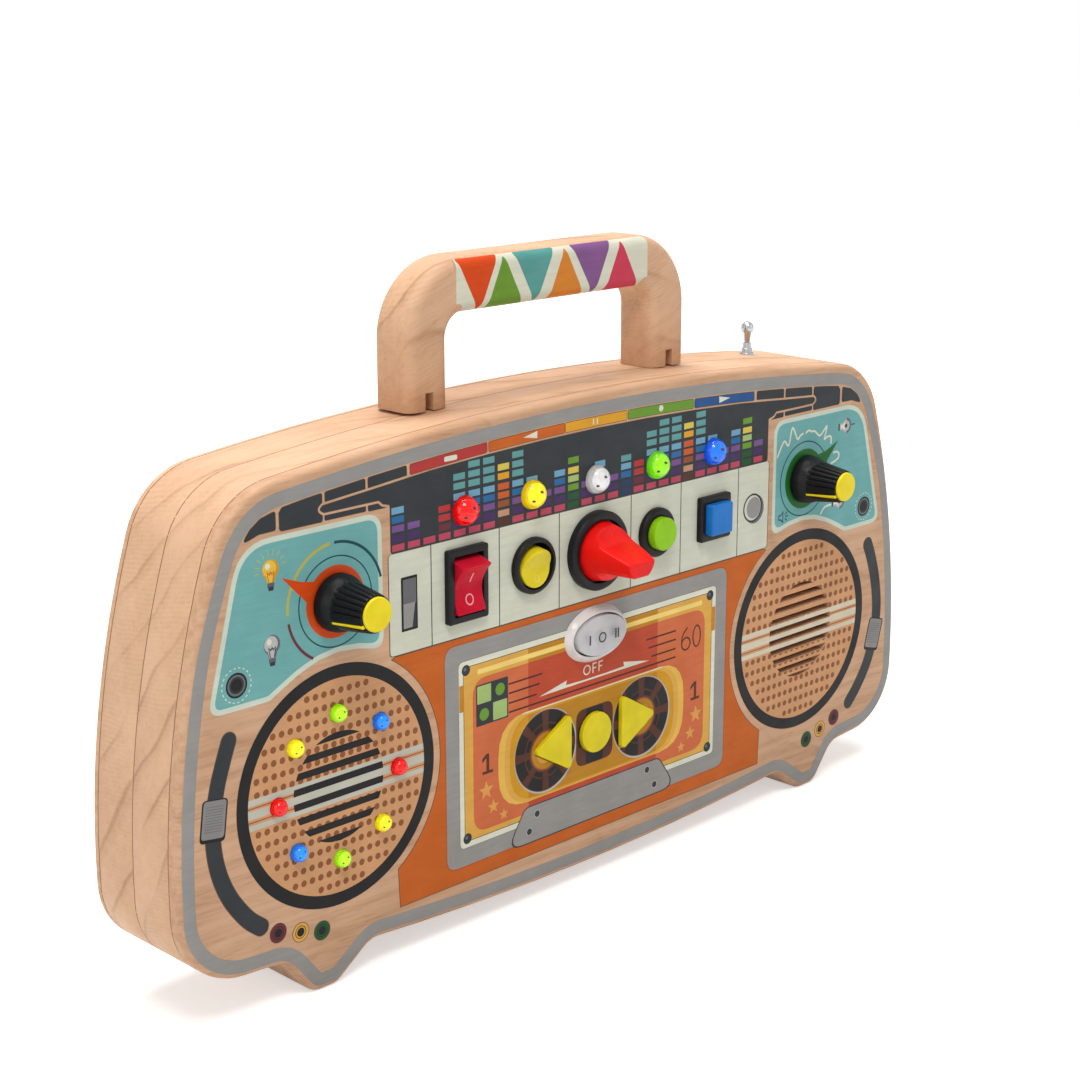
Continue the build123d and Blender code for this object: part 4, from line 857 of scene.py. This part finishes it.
spike_top = [
    (20.0, 76.1), (40.0, 75.5), (60.0, 74.5), (80.0, 72.8), (93.9, 71.7), (94.9, 70.9), (93.6, 70.0),
    (76.4, 70.0), (75.2, 68.9), (72.9, 68.3), (72.9, 55.75),
]
spike = rounded([(0.0, 76.3)] + spike_top + flip(spike_top), 0.7, 3)
for side, label in ((-1, "left"), (1, "right")):
    block = [(94.1, 67.9), (94.1, arch(94.1)), (100.5, arch(100.5)), (106.0, arch(106.0) - 0.1)]
    block += [(106.9, 72.3), (106.9, 68.3), (106.3, 67.9)]
    wedge = [(108.1, 68.4), (108.1, 72.9), (112.4, 71.8), (115.4, 69.8), (117.9, 66.8), (113.0, 68.3)]
    shapes = [
        arched(67.4, 79.7, 2.85), arched(80.7, 93.1, 2.85), rounded(block, 0.6, 4), rounded(wedge, 0.6, 4),
        box(80.7, 68.05, 93.3, 69.35, 0.35), box(74.2, 67.9, 79.8, 69.35, 0.4),
    ]
    if side < 0:
        shapes = [flip(s) for s in shapes]
    relief(f"print_blocks_{label}", edged("charcoal", shapes, 0.16), [inset(spike, -0.75)])

BARS = {
    "red": (-66.2, -40.2), "bar_orange": (-39.5, -12.1), "bar_yellow": (-11.7, 12.0), "green": (12.6, 39.4),
    "blue": (40.0, 66.1),
}
layers = []
for tone, ends in BARS.items():
    layers += edged(tone, [arched(*ends, 2.5)], 0.14)
layers += inked(
    "cream",
    box(-54.9, 76.0, -50.5, 77.3, 0.5), [(-27.3, 78.0), (-22.2, 77.1), (-22.2, 79.0)],
    box(-1.3, 77.5, -0.85, 79.1), box(0.2, 77.5, 0.65, 79.1),
    disc(25.9, 78.1, 0.9, 20), [(55.3, 77.0), (50.5, 78.0), (50.6, 76.1)],
)
relief("print_bars", layers)

LEVELS = (5, 3, 1, 4, 7, 8, 8, 7, 8, 5, 3, 5, 6, 3, 5, 3, 5, 4, 7, 8, 8, 7, 8, 5, 3, 5, 6, 3)
ROWS = (56.95, 59.3, 61.8, 64.1, 66.4, 69.1, 71.5, 74.0)
USUAL = ("pink", "plum", "purple", "mid_blue", "sky", "level_teal", "level_teal", "level_teal")
SPECIAL = {
    (3, 17): ("pink", "maroon", "red", "red"),
    (7, 21): ("brown", "peach", "rust", "bright_orange", "bright_orange", "bar_yellow", "level_yellow"),
    (12, 26): ("dark_green", "dark_green", "green", "pale_green", "level_yellow", "green"),
    (16,): ("navy", "navy", "mid_blue", "sky", "level_teal"),
}
special = {column: tones for columns, tones in SPECIAL.items() for column in columns}
layers = edged("charcoal", [spike], 0.14)
for column, level in enumerate(LEVELS):
    left = -72.5 + 5.15 * column
    tones = special.get(column, USUAL)[:level]
    layers += [(tone, box(left, z - 0.85, left + 4.0, z + 0.85)) for tone, z in zip(tones, ROWS)]
lamp_holes = [disc(k * PITCH, LAMP_Z, 4.0, 32) for k in range(-2, 3)]
thirds = (
    [box(-24, 50, 100, 80)],
    [box(-100, 50, -24, 80), box(24, 50, 100, 80)],
    [box(-100, 50, 24, 80)],
)
for number, outside in enumerate(thirds):
    relief(f"print_meters_{number + 1}", layers, lamp_holes + outside)

# ---- pale panel of the switches, with a slide switch and a round button
layers = [("outline", box(-74.0, 29.1, 74.0, 55.6, 1.2)), ("keys", box(-73.75, 29.3, 73.75, 55.55, 1.1))]
seams = (-59.8, -36.1, -14.0, 14.1, 34.8, 59.9)
layers += inked("charcoal", *[box(x - 0.16, 29.3, x + 0.16, 55.55) for x in seams])
layers += [
    ("black", box(-69.9, 34.9, -64.5, 49.0, 0.3)),
    ("slate", box(-69.2, 41.8, -64.9, 48.3)),
    ("charcoal", box(-69.2, 35.5, -64.9, 41.8)),
    ("grey", [(-69.2, 35.6), (-66.3, 35.6), (-65.3, 42.0), (-69.2, 42.0)]),
    ("slate", disc(67.5, 42.1, 4.35)), ("charcoal", disc(66.7, 42.6, 4.3)),
    ("keys", disc(66.7, 42.6, 3.75)), ("grey", disc(67.2, 42.55, 3.2)),
]
# openings under the bezels of the switches, whose bodies pass through the panel
switch_holes = [
    box(-54.5, 34.15, -42.1, 52.45), disc(-PITCH, SWITCH_Z, 7.15, 48), disc(0.0, 42.84, 7.75, 48),
    disc(PITCH, SWITCH_Z, 6.2, 40), box(42.4, 37.36, 54.3, 49.26),
]
oval_hole = ellipse(0, OVAL_Z, 11.3, 7.1, 45)
relief("print_keys", layers, switch_holes)


# ---- orange middle, cassette frame and label
def waist(side, r):
    """The curve that the middle panel leaves round a speaker circle, from low to high."""
    top, low = math.degrees(math.asin(28.5 / r)), math.degrees(math.asin(-28.0 / r))
    turn = (180 - low, 180 - top) if side > 0 else (low, top)
    return arc(side * SPEAKER_X, 0, r, *turn, 40)


middle = [(-72.0, -38.6), (72.0, -38.6), *waist(1, 33.7), (72.0, 28.9), (-72.0, 28.9), *waist(-1, 33.7)[::-1]]
label_edge = box(-50.9, -29.4, 50.9, 22.3, 1.6)
layers = edged("orange", [middle], 0.2)
layers += edged("grey", [box(-55.6, -34.4, 55.6, 27.1, 3.5)], 0.35, "deep_orange")
relief("print_middle", layers, [inset(label_edge, -0.1), oval_hole])

key_side = [(10.08, -17.83), (24.45, KEY_Z), (10.08, -1.03)]
key_holes = [disc(0, KEY_Z, 6.03, 40)] + [rounded(inset(s, -0.25), 1.4) for s in (key_side, flip(key_side))]
layers = edged("cream", [label_edge], 0.1) + [
    ("outline", box(-49.3, -27.8, 49.3, 20.7, 0.9)), ("yellow", box(-49.1, -27.6, 49.1, 20.5, 0.8)),
    ("dull_yellow", box(-25.7, 16.5, 25.7, 20.5)), ("pale_line", box(-44.2, 17.65, 44.8, 19.05, 0.4)),
    ("inner_orange", box(-46.0, -26.2, 46.2, 16.6, 5.0)), ("band_red", box(-25.7, -26.2, 25.7, 16.6)),
]
for x in (-1, 1):
    layers.append(("tab", box(x * 49.9 - 0.85, 8.7, x * 49.9 + 0.85, 16.0, 0.3)))
    for z in (19.8, -26.9):
        layers.append(("charcoal", disc(x * 48.3, z, 1.5, 24)))
        layers.append(("slate", disc(x * 48.3 - 0.3, z + 0.3, 0.5, 12)))
for z, left, right in ((12.35, -20.4, 21.0), (9.75, -21.4, 22.0), (7.0, -22.6, 23.2)):
    layers += inked("umber", box(-33.0, z - 0.25, left, z + 0.25), box(right, z - 0.25, 33.6, z + 0.25))
layers += [("umber", box(-33.0, 4.2, 33.6, 4.7)), ("charcoal", box(-44.8, 3.3, -33.2, 14.7, 0.4))]
layers += inked("pale_green", box(-44.4, 9.4, -39.4, 14.3, 0.3), box(-38.7, 3.7, -33.6, 8.7, 0.3))
layers += inked("green", disc(-41.9, 6.2, 1.7, 20), disc(-36.1, 11.8, 1.7, 20))
layers += inked(
    "cream",
    [(-21.6, 6.0), (-11.0, 8.1), (-11.3, 6.8), (-4.0, 6.6), (-4.0, 6.1)],
    [(22.4, 6.0), (11.6, 8.1), (11.9, 6.8), (4.6, 6.6), (4.6, 6.1)],
    box(-4.1, 6.1, 4.7, 6.6),
)
# OFF below the three-way switch
layers += [("cream", disc(-3.1, 9.2, 1.45, 28)), ("band_red", disc(-3.1, 9.2, 1.08, 26))]
for x in (-0.9, 1.5):
    layers += inked(
        "cream", box(x, 7.8, x + 0.38, 10.65), box(x, 10.3, x + 1.7, 10.65), box(x, 9.0, x + 1.45, 9.33)
    )
# the window with its two reels
layers += [
    ("pale_yellow", box(-36.9, -22.9, 37.3, 3.0, 10.5)), ("yellow", box(-34.6, -22.9, 35.0, 3.0, 10.5)),
    ("amber", box(-32.7, -22.4, 33.1, 2.5, 10.2)), ("dull_yellow", box(-25.7, -22.0, 25.7, 1.9)),
    ("cream", box(-28.0, 2.55, 28.0, 2.85)),
]
for x in (-19.2, 19.2):
    z = -9.9
    layers += [("silver", disc(x + 0.15, z - 0.2, 11.95, 60)), ("brown", disc(x, z, 11.6, 60))]
    for a in range(0, 360, 45):
        spokes = band(x, z, 8.0, 11.3, a + 7, a + 38, 8), band(x, z, 6.2, 7.6, a + 9, a + 36, 6)
        layers += inked("black", *spokes)
    layers += discs(x, z, ("brown", 6.0), ("rust", 5.7), ("dull_yellow", 5.2))
    layers.append(("yellow", disc(x, z, 3.6, 36)))
layers.append(("brown", box(-7.3, -18.4, 7.4, -1.8, 3.0)))
layers += inked("black", box(-3.4, -18.2, 3.5, -2.0, 1.0), box(-6.6, -12.8, 6.7, -6.6, 1.0))
STARS = (
    (-41.4, -15.3, 2.76), (-38.8, -20.5, 2.185), (-35.0, -23.8, 1.725),
    (42.8, -15.2, 2.76), (40.5, -20.5, 2.185), (36.6, -23.9, 1.725),
)
layers += inked("star", *[star(*place) for place in STARS])
# a plain 1 on each side, and a plain 60 beside the lines
one = inked(
    "brown",
    box(-0.1, -10.6, 0.95, -5.0), [(-0.1, -5.0), (-1.6, -6.2), (-1.6, -7.3), (-0.1, -6.2)],
    box(-1.5, -10.6, 2.3, -9.8),
)
layers += placed(one, -41.2, 0) + placed(one, 42.0, 0)
zero = ellipse(42.7, 8.75, 1.9, 3.45, 36)
layers += [
    ("brown", disc(38.0, 7.4, 2.1, 30)), ("inner_orange", disc(38.0, 7.4, 1.55, 28)),
    ("brown", stroke(smooth([(36.2, 7.2), (36.5, 10.0), (38.6, 12.2)]), 0.55)),
    ("brown", zero), ("inner_orange", inset(zero, 0.55)),
]
tray = [(-33.6, -34.9), (34.0, -34.9), (26.9, -24.7), (-26.9, -24.7)]
layers += [("charcoal", rounded(inset(tray, -0.35), 3.2)), ("grey", rounded(tray, 3.0))]
for x, z in ((-22.4, -27.4), (-25.4, -31.8), (22.0, -26.9), (25.2, -32.2)):
    layers += discs(x, z, ("silver", 1.15), ("charcoal", 0.95), n=20)
relief("print_label", layers, [*key_holes, oval_hole], lifts=(1.3 * FILM, -FILM))

# ---- the wrap on the handle
handle_low, handle_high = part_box("handle")
BEND = 3.4  # radius of the grip's rounded edges
FLAT = 4.25  # half of the flat between them
BAR = 2 * (FLAT + BEND)


def wrap_point(x, s, lift):
    """x is in artwork millimetres, and s runs up the grip in real ones, from 0 at the middle of its front."""
    y, z = handle_low.y, handle_high.z - BAR / 2 * MM
    if abs(s) <= FLAT:
        return Vector((x * ART, y - lift, z + s * MM))
    angle = (abs(s) - FLAT) / BEND
    way = 1 if s > 0 else -1
    r = BEND * MM + lift
    return Vector((x * ART, y + BEND * MM - r * math.cos(angle), z + way * (FLAT * MM + r * math.sin(angle))))


TOP, LOW = FLAT + BEND * math.radians(56), -FLAT - BEND * math.radians(80)
WEDGES = {  # the two corners at the wedge's base, and its tip
    "red": ((-36.0, TOP), (-21.2, TOP), (-28.1, LOW + 0.6)),
    "green": ((-26.0, LOW), (-11.4, LOW), (-19.2, TOP - 0.5)),
    "teal": ((-15.6, TOP), (-0.3, TOP), (-7.6, LOW + 0.6)),
    "orange": ((-3.4, LOW), (11.5, LOW), (3.5, TOP - 0.5)),
    "purple": ((5.9, TOP), (21.6, TOP), (14.7, LOW + 0.6)),
    "crimson": ((18.5, LOW), (33.5, LOW), (25.5, TOP - 0.5)),
}
ground = [(-36.2, LOW), (34.3, LOW), (35.6, LOW + 0.7), (36.2, LOW + 2.2)]
ground += [(36.2, TOP - 2.2), (35.6, TOP - 0.7), (34.3, TOP), (-36.2, TOP)]
layers = [("wrap", ground)] + [("wrap_" + tone, rounded(wedge, 0.5, 3)) for tone, wedge in WEDGES.items()]
folds = [((-40, s), (40, s)) for s in [way * (FLAT + 0.45 * k) for way in (1, -1) for k in range(11)]]
relief("print_wrap", layers, point=wrap_point, folds=folds, lifts=(1.6 * FILM, -0.4 * FILM))

# ---- dials
knob_black = plastic("knob_black", (15, 15, 17), gloss=0.36, texture=0.24, shine=0.17)
pointer_yellow = plastic("pointer_yellow", (238, 216, 18), gloss=0.34, shine=0.2)
LINE_AT = math.radians(211)  # where the pointer line is, round the knob
FLUTES = 22


def fluted(angle, radius, along):
    """Narrow flutes round the grip, but none beside the pointer line."""
    aside = abs((angle - LINE_AT + math.pi) % (2 * math.pi) - math.pi)
    depth = 0.5 * fade(-along, 5.4, 1.0) * fade(along, -16.2, 0.6) * fade(aside, 0.42, 0.12)
    return radius - depth * (1 - abs(math.sin(FLUTES / 2 * angle)) ** 0.55)


# the knob's profile, from the edge of the bore's floor, which is left open, round to the axis
FOOT = [
    (3.0, -13.7), (3.0, -3.4), (5.9, -3.4), (5.9, -0.35), (7.4, -0.35), (7.75, -0.6), (7.8, -1.0),
    (7.65, -3.1), (7.45, -3.5), (6.95, -4.9), (6.75, -5.2), (6.6, -5.4),
]
GRIP = [(6.6 - 1.4 * k / 14, -5.4 - 10.3 * k / 14) for k in range(1, 15)]
CROWN = [(5.05, -16.05), (4.7, -16.2), (0.0, -16.2), (0.0, -13.7)]
LINE = ((-5.3, 6.45), (-5.6, 6.72), (-9.0, 6.24), (-15.9, 5.33), (-16.15, 5.0))  # along and radius
LINE_SECTION = ((-0.34, -0.7), (-0.34, 0.0), (-0.24, 0.12), (0.24, 0.12), (0.34, 0.0), (0.34, -0.7))
for name, side in (("light", -1), ("volume", 1)):
    body = nodes[f"{name}_knob"]["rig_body"]
    place = on_face(side * DIAL_MM[0], DIAL_MM[1])
    profile = FOOT + GRIP + CROWN
    knob = lathe(f"{name}_knob_grip", profile, place, knob_black, body, 12 * FLUTES, fluted)
    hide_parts(f"{name}_knob")
    softened(f"{name}_knob_cap", 0.1, pointer_yellow)
    # raised pointer line along the grip
    out = Vector((math.cos(LINE_AT), 0, math.sin(LINE_AT)))
    aside = Vector((-math.sin(LINE_AT), 0, math.cos(LINE_AT)))
    rings = []
    for along, radius in LINE:
        middle_line = place + Vector((0, along * MM, 0))
        wide = 1.0 + 0.5 * max(0.0, -along - 8.0) / 8.0
        ring = [out * (radius + rise) + aside * x * wide for x, rise in LINE_SECTION]
        rings.append([middle_line + spot * MM for spot in ring])
    swept(f"{name}_knob_pointer", rings, pointer_yellow, body, closed=False)

# ---- lamps
# each lamp's bright core is set right of its middle as a painted lit side, and the deeper cup that shows on
# its left is painted shade
LENS = {  # the clear dome, the cup in it and the bright core
    "red": ((248, 44, 40), (216, 4, 12), (238, 18, 20)),
    "yellow": ((250, 242, 62), (214, 186, 2), (240, 230, 14)),
    "white": ((246, 246, 246), (176, 174, 173), (220, 219, 219)),
    "green": ((208, 242, 72), (110, 204, 8), (164, 228, 6)),
    "blue": ((98, 188, 248), (2, 90, 210), (12, 138, 228)),
    "ring_red": ((248, 44, 40), (222, 6, 12), (238, 18, 20)),
    "ring_yellow": ((250, 246, 62), (236, 226, 4), (242, 234, 14)),
    "ring_green": ((226, 246, 80), (172, 230, 2), (200, 240, 6)),
    "ring_blue": ((112, 206, 252), (6, 124, 214), (20, 160, 240)),
}
resins = {
    name: (
        lens(name, dome), plastic("cup_" + name, cup, gloss=0.5, inner=0.36),
        plastic("core_" + name, core, gloss=0.5, inner=0.35 if name == "white" else 0.4),
    )
    for name, (dome, cup, core) in LENS.items()
}
lead_dark = metal("lead_dark", (40, 38, 36), 0.5)
LARGE, SMALL = (4.2, 0.0, 4.9, 1.6), (2.42, 0.5, 2.9, 1.0)  # radius, shoulder, flange's radius and thickness


def lamp(name, tone, place, r, shoulder, flange_r, flange_t):
    """A round lamp: clear dome with a flange, a bright cup with its core inside, and two posts."""
    lens_resin, cup_resin, core_lit_side_resin = resins[tone]
    top = -0.5 - shoulder * 0.6
    dome = [(0.0, -r - shoulder)]
    dome += [(x * r, z * r - shoulder) for x, z in [polar(0, 0, 1, a) for a in range(-84, 1, 6)]]
    dome += [(r, 4.0), (flange_r, 4.0), (flange_r, 4.0 + flange_t), (0.0, 4.0 + flange_t)]
    cup = [(0.0, top), (0.80 * r, top), (0.84 * r, 0.1), (0.84 * r, 3.4), (0.0, 3.4)]
    core = [(0.0, -0.12), (0.46, -0.11), (0.55, -0.05)]
    core = [(x * r, top + rise * r) for x, rise in core] + [(0.58 * r, top + 0.3), (0.0, top + 0.3)]
    post = [(0.0, -0.26), (0.045, -0.26), (0.06, -0.2)]
    post = [(x * r, top + rise * r) for x, rise in post] + [(0.06 * r, top + 0.4), (0.0, top + 0.4)]
    piece = lathe(name, dome, place, lens_resin, "board", 56)
    lathe(name + "_cup", cup, place, cup_resin, "board", 40)
    # set right of the middle: a painted lit side over the cup's painted shade
    lathe(name + "_core", core, place + Vector((0.16 * r * MM, 0, 0)), core_lit_side_resin, "board", 40)
    for way, letter in ((-1, "a"), (1, "b")):
        aside = Vector((0.14 + way * 0.26, 0, way * 0.2 - 0.12)) * r * MM
        lathe(f"{name}_post_{letter}", post, place + aside, lead_dark, "board", 16)
    return piece


for number, tone in enumerate(("red", "yellow", "white", "green", "blue")):
    place = on_face((number - 2) * PITCH_MM, LAMP_Z_MM)
    piece = lamp(f"lamp_{tone}_lens", tone, place, *LARGE)
    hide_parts(f"lamp_{tone}")
for tone, angles in {"green": (90, 270), "blue": (45, 225), "red": (0, 180), "yellow": (315, 135)}.items():
    for angle in angles:
        place = on_face(*polar(-SPEAKER_X_MM, 0, RING_MM, angle))
        piece = lamp(f"ring_lamp_{tone}_{angle}", "ring_" + tone, place, *SMALL)
        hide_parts(f"ring_lamps_{tone}")

# ---- switches
black_body = plastic("switch_black", (24, 23, 24), gloss=0.38, texture=0.30)
crimson = plastic("rocker_crimson", (204, 22, 48), gloss=0.34, scatter=0.15, shine=0.06)
round_yellow = plastic("rocker_yellow", (226, 206, 28), scatter=0.15)
key_yellow = plastic("key_yellow", (226, 208, 20), gloss=0.34, scatter=0.1)
for kind in ("rocker", "round_rocker", "selector", "round_button", "square_button"):
    softened(kind + "_housing", 0.18, black_body)
softened("selector_knob", 0.12, plastic("selector_red", (236, 18, 12), gloss=0.30, scatter=0.1))
softened("round_button_cap", 0.1, plastic("button_lime", (146, 206, 18), gloss=0.32, scatter=0.1))
softened("square_button_cap", 0.1, plastic("button_blue", (28, 118, 200), gloss=0.32, scatter=0.1))
# the rim is lighter than the cap's white: its own white with a painted highlight
softened("mode_switch_housing", 0.2, plastic("oval_rim_white_and_highlight", (226, 223, 220), gloss=0.20, coat=0.2))
softened("mode_switch_cap", 0.5, plastic("oval_white", (198, 198, 200), gloss=0.20, coat=0.2), 4)
for kind in ("rewind", "stop", "play"):
    softened(kind + "_key", 0.1, key_yellow)


TILT = math.radians(10.5)  # of both rockers at rest, half of their range


def rocker_point(x, u, rise, middle=-2 * PITCH_MM):
    """x across, u up along the cap and rise to the front, in millimetres, in the cap's tilted frame."""
    up = Vector((0, -math.sin(TILT), math.cos(TILT)))
    out = Vector((0, -math.cos(TILT), -math.sin(TILT)))
    return on_face(middle, SWITCH_Z_MM, 1.0) + (Vector((x, 0, 0)) + up * u + out * rise) * MM


def folded(low, count):
    """Lines half a millimetre apart across a curved cap."""
    return [((-3, low + 0.5 * k), (3, low + 0.5 * k)) for k in range(count)]


# the rocker caps: their fronts are hollow between the two tips
def hollow(u):
    return 2.75 + 2.75 * (abs(u) / 6.9) ** 1.8


def rocker_mark(x, u, lift):
    return rocker_point(x, u, hollow(u) + lift / MM)


front = [(u, hollow(u)) for u in [-6.9 + 13.8 * k / 24 for k in range(1, 24)]]
profile = [(-7.6, -1.0), (-7.6, 0.4), (-7.0, 5.3)] + front + [(7.0, 5.3), (7.6, 0.4), (7.6, -1.0)]
profile += [(x, z - 1.0) for x, z in ellipse(0, 0, 7.6, -3.4, 24)[1:12]]
eased = [(u * 0.975, v - 0.22 if v > 2 else v) for u, v in profile]
rings = []
for x in (-5.2, -4.95, -2.5, 0.0, 2.5, 4.95, 5.2):
    rings.append([rocker_point(x, u, v) for u, v in (eased if abs(x) == 5.2 else profile)])
cap = swept("rocker_cap_hollow", rings, crimson, "rocker", closed=False)
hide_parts("rocker_cap")
marks = inked("pale_mark", box(-0.2, 1.3, 0.2, 4.4), disc(0, -3.6, 1.5, 32))
cut = [disc(0, -3.6, 1.15, 28)]
relief("rocker_marks", marks, cut, "rocker", rocker_mark, folds=folded(-5.5, 22))


def round_hollow(u):
    return 2.65 + 1.75 * math.sqrt(u * u + 0.3) / 5.8


def round_mark(x, u, lift):
    return rocker_point(x, u, round_hollow(u) + lift / MM, -PITCH_MM)


RIM = ((5.75, 0.75), (5.7, 0.45), (5.55, 0.2), (5.3, 0.06))  # radius, and how far behind the hollow front
rings = []
for r, rise in ((3.6, -3.6), (5.2, -2.4), (5.75, -1.0)):
    rings.append([rocker_point(x, u, rise, -PITCH_MM) for x, u in disc(0, 0, r, 72)])
for r, ease in RIM + tuple((r, 0.0) for r in (5.0, 4.2, 3.4, 2.6, 1.8, 1.0, 0.4)):
    rings.append([round_mark(x, u, -ease * MM) for x, u in disc(0, 0, r, 72)])
cap = swept("round_rocker_cap_hollow", rings, round_yellow, "round_rocker", closed=False)
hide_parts("round_rocker_cap")
marks = inked("ring_mark", box(-0.16, 1.9, 0.16, 3.6), disc(0, -3.0, 1.0, 28))
cut = [disc(0, -3.0, 0.78, 24)]
relief("round_rocker_marks", marks, cut, "round_rocker", round_mark, folds=folded(-4.5, 18))


def cap_front(x, z, lift):
    """A point on the front of the oval switch's cap, in real millimetres from its middle."""
    return on_face(x, OVAL_Z_MM + z, -4.0) - Vector((0, lift, 0))


bars = [box(x, -1.6, x + 0.55, 1.3) for x in (-6.35, 4.5, 5.55)]
marks = inked("mark", bars[0], disc(-0.9, -0.2, 1.6, 36), *bars[1:])
relief("oval_marks", marks, [disc(-0.9, -0.2, 1.15, 32)], "mode_switch", cap_front)

# ---- antenna, back and inside
chrome = metal("antenna_chrome", (186, 187, 190), 0.16, 0.1)
for stage, width in (("tube", 0.12), ("middle", 0.12), ("upper", 0.12), ("tip", 0.15)):
    softened("antenna_" + stage, width, chrome, 3)

steel = metal("screw_steel", (176, 176, 180), 0.3, 0.3)
brass = metal("pot_brass", (196, 180, 140), 0.3)
black_matt = plastic("tray_black", (44, 45, 48), gloss=0.55, texture=0.72)
board_green = fibre("board_green", (34, 96, 58), 1400)
softened("battery_door", 0.3, black_matt, 3)
softened("back_screws", 0.1, steel)
softened("door_screw", 0.1, steel)
for node in ("control_board", "ring_board", "lamp_board"):
    painted(node, board_green)
for node in ("board_screws", "short_screws", "light_shaft", "volume_shaft", "selector_shaft"):
    painted(node, steel)
for node in ("light_pot", "volume_pot", "pot_nuts"):
    painted(node, brass)
painted("battery_tray", black_matt)
painted("battery_cells", plastic("cell_jacket", (58, 62, 70), 0.35))
painted("battery_contacts", metal("contact_plate", (196, 190, 176), 0.3))
painted("board_spacers", plastic("spacer_nylon", (222, 220, 210), 0.5))
painted("tact_switches", plastic("tact_black", (40, 40, 42), 0.5))
painted("speaker_basket", metal("basket_grey", (150, 152, 156), 0.4))
painted("speaker_cone", fibre("cone_paper", (46, 46, 48)))
painted("speaker_magnet", metal("magnet_dark", (92, 94, 98), 0.45))

# ---- floor, world and lamps
floor_mesh = bpy.data.meshes.new("floor")
floor_mesh.from_pydata([(x, z, 0) for x, z in box(-3, -3, 3, 3)], [], [(0, 1, 2, 3)])
floor = bpy.data.objects.new("floor", floor_mesh)
scene.collection.objects.link(floor)
# matt for the light, with a glow that only seen rays take, which grows outwards to white
g = Graph("floor_pale")
diffuse = g.add("BsdfDiffuse", {"Color": (0.80, 0.80, 0.80)}).outputs[0]
glow_strength = g.range(g.vector("LENGTH", g.place()), 0.25, 1.3, 0.52, 0.9)
glow = g.add("Emission", {"Color": (1, 1, 1), "Strength": glow_strength}).outputs[0]
none = g.add("Emission", {"Color": (0, 0, 0), "Strength": 0.0}).outputs[0]
lifted = g.add("MixShader", {0: g.seen(), 1: none, 2: glow}).outputs[0]
floor_mesh.materials.append(g.finish(g.add("AddShader", {0: diffuse, 1: lifted}).outputs[0]))

scene.world = bpy.data.worlds.new("studio")
g = Graph("studio", scene.world)
strength = g.range(g.seen(), 0, 1, 0.33, 1.0)
g.finish(g.add("Background", {"Color": (1, 1, 1), "Strength": strength}).outputs[0], "OutputWorld")


def area_lamp(name, place, target_z, size, power, tint=(1, 1, 1)):
    data = bpy.data.lights.new(name, "AREA")
    data.size = size
    data.energy = power
    data.color = tint
    made = bpy.data.objects.new(name, data)
    made.location = place
    made.rotation_euler = (Vector((0, 0, target_z)) - Vector(place)).to_track_quat("-Z", "Y").to_euler()
    scene.collection.objects.link(made)


area_lamp("key", (-0.50, -0.62, 1.40), 0.08, 0.5, 10.5, (1.0, 0.985, 0.96))
area_lamp("side", (-1.35, -0.15, 0.55), 0.08, 0.8, 3.4)
area_lamp("fill", (0.9, -1.2, 0.7), 0.08, 1.0, 1.6)
area_lamp("top", (0.05, 0.35, 1.5), 0.1, 0.8, 17.0)
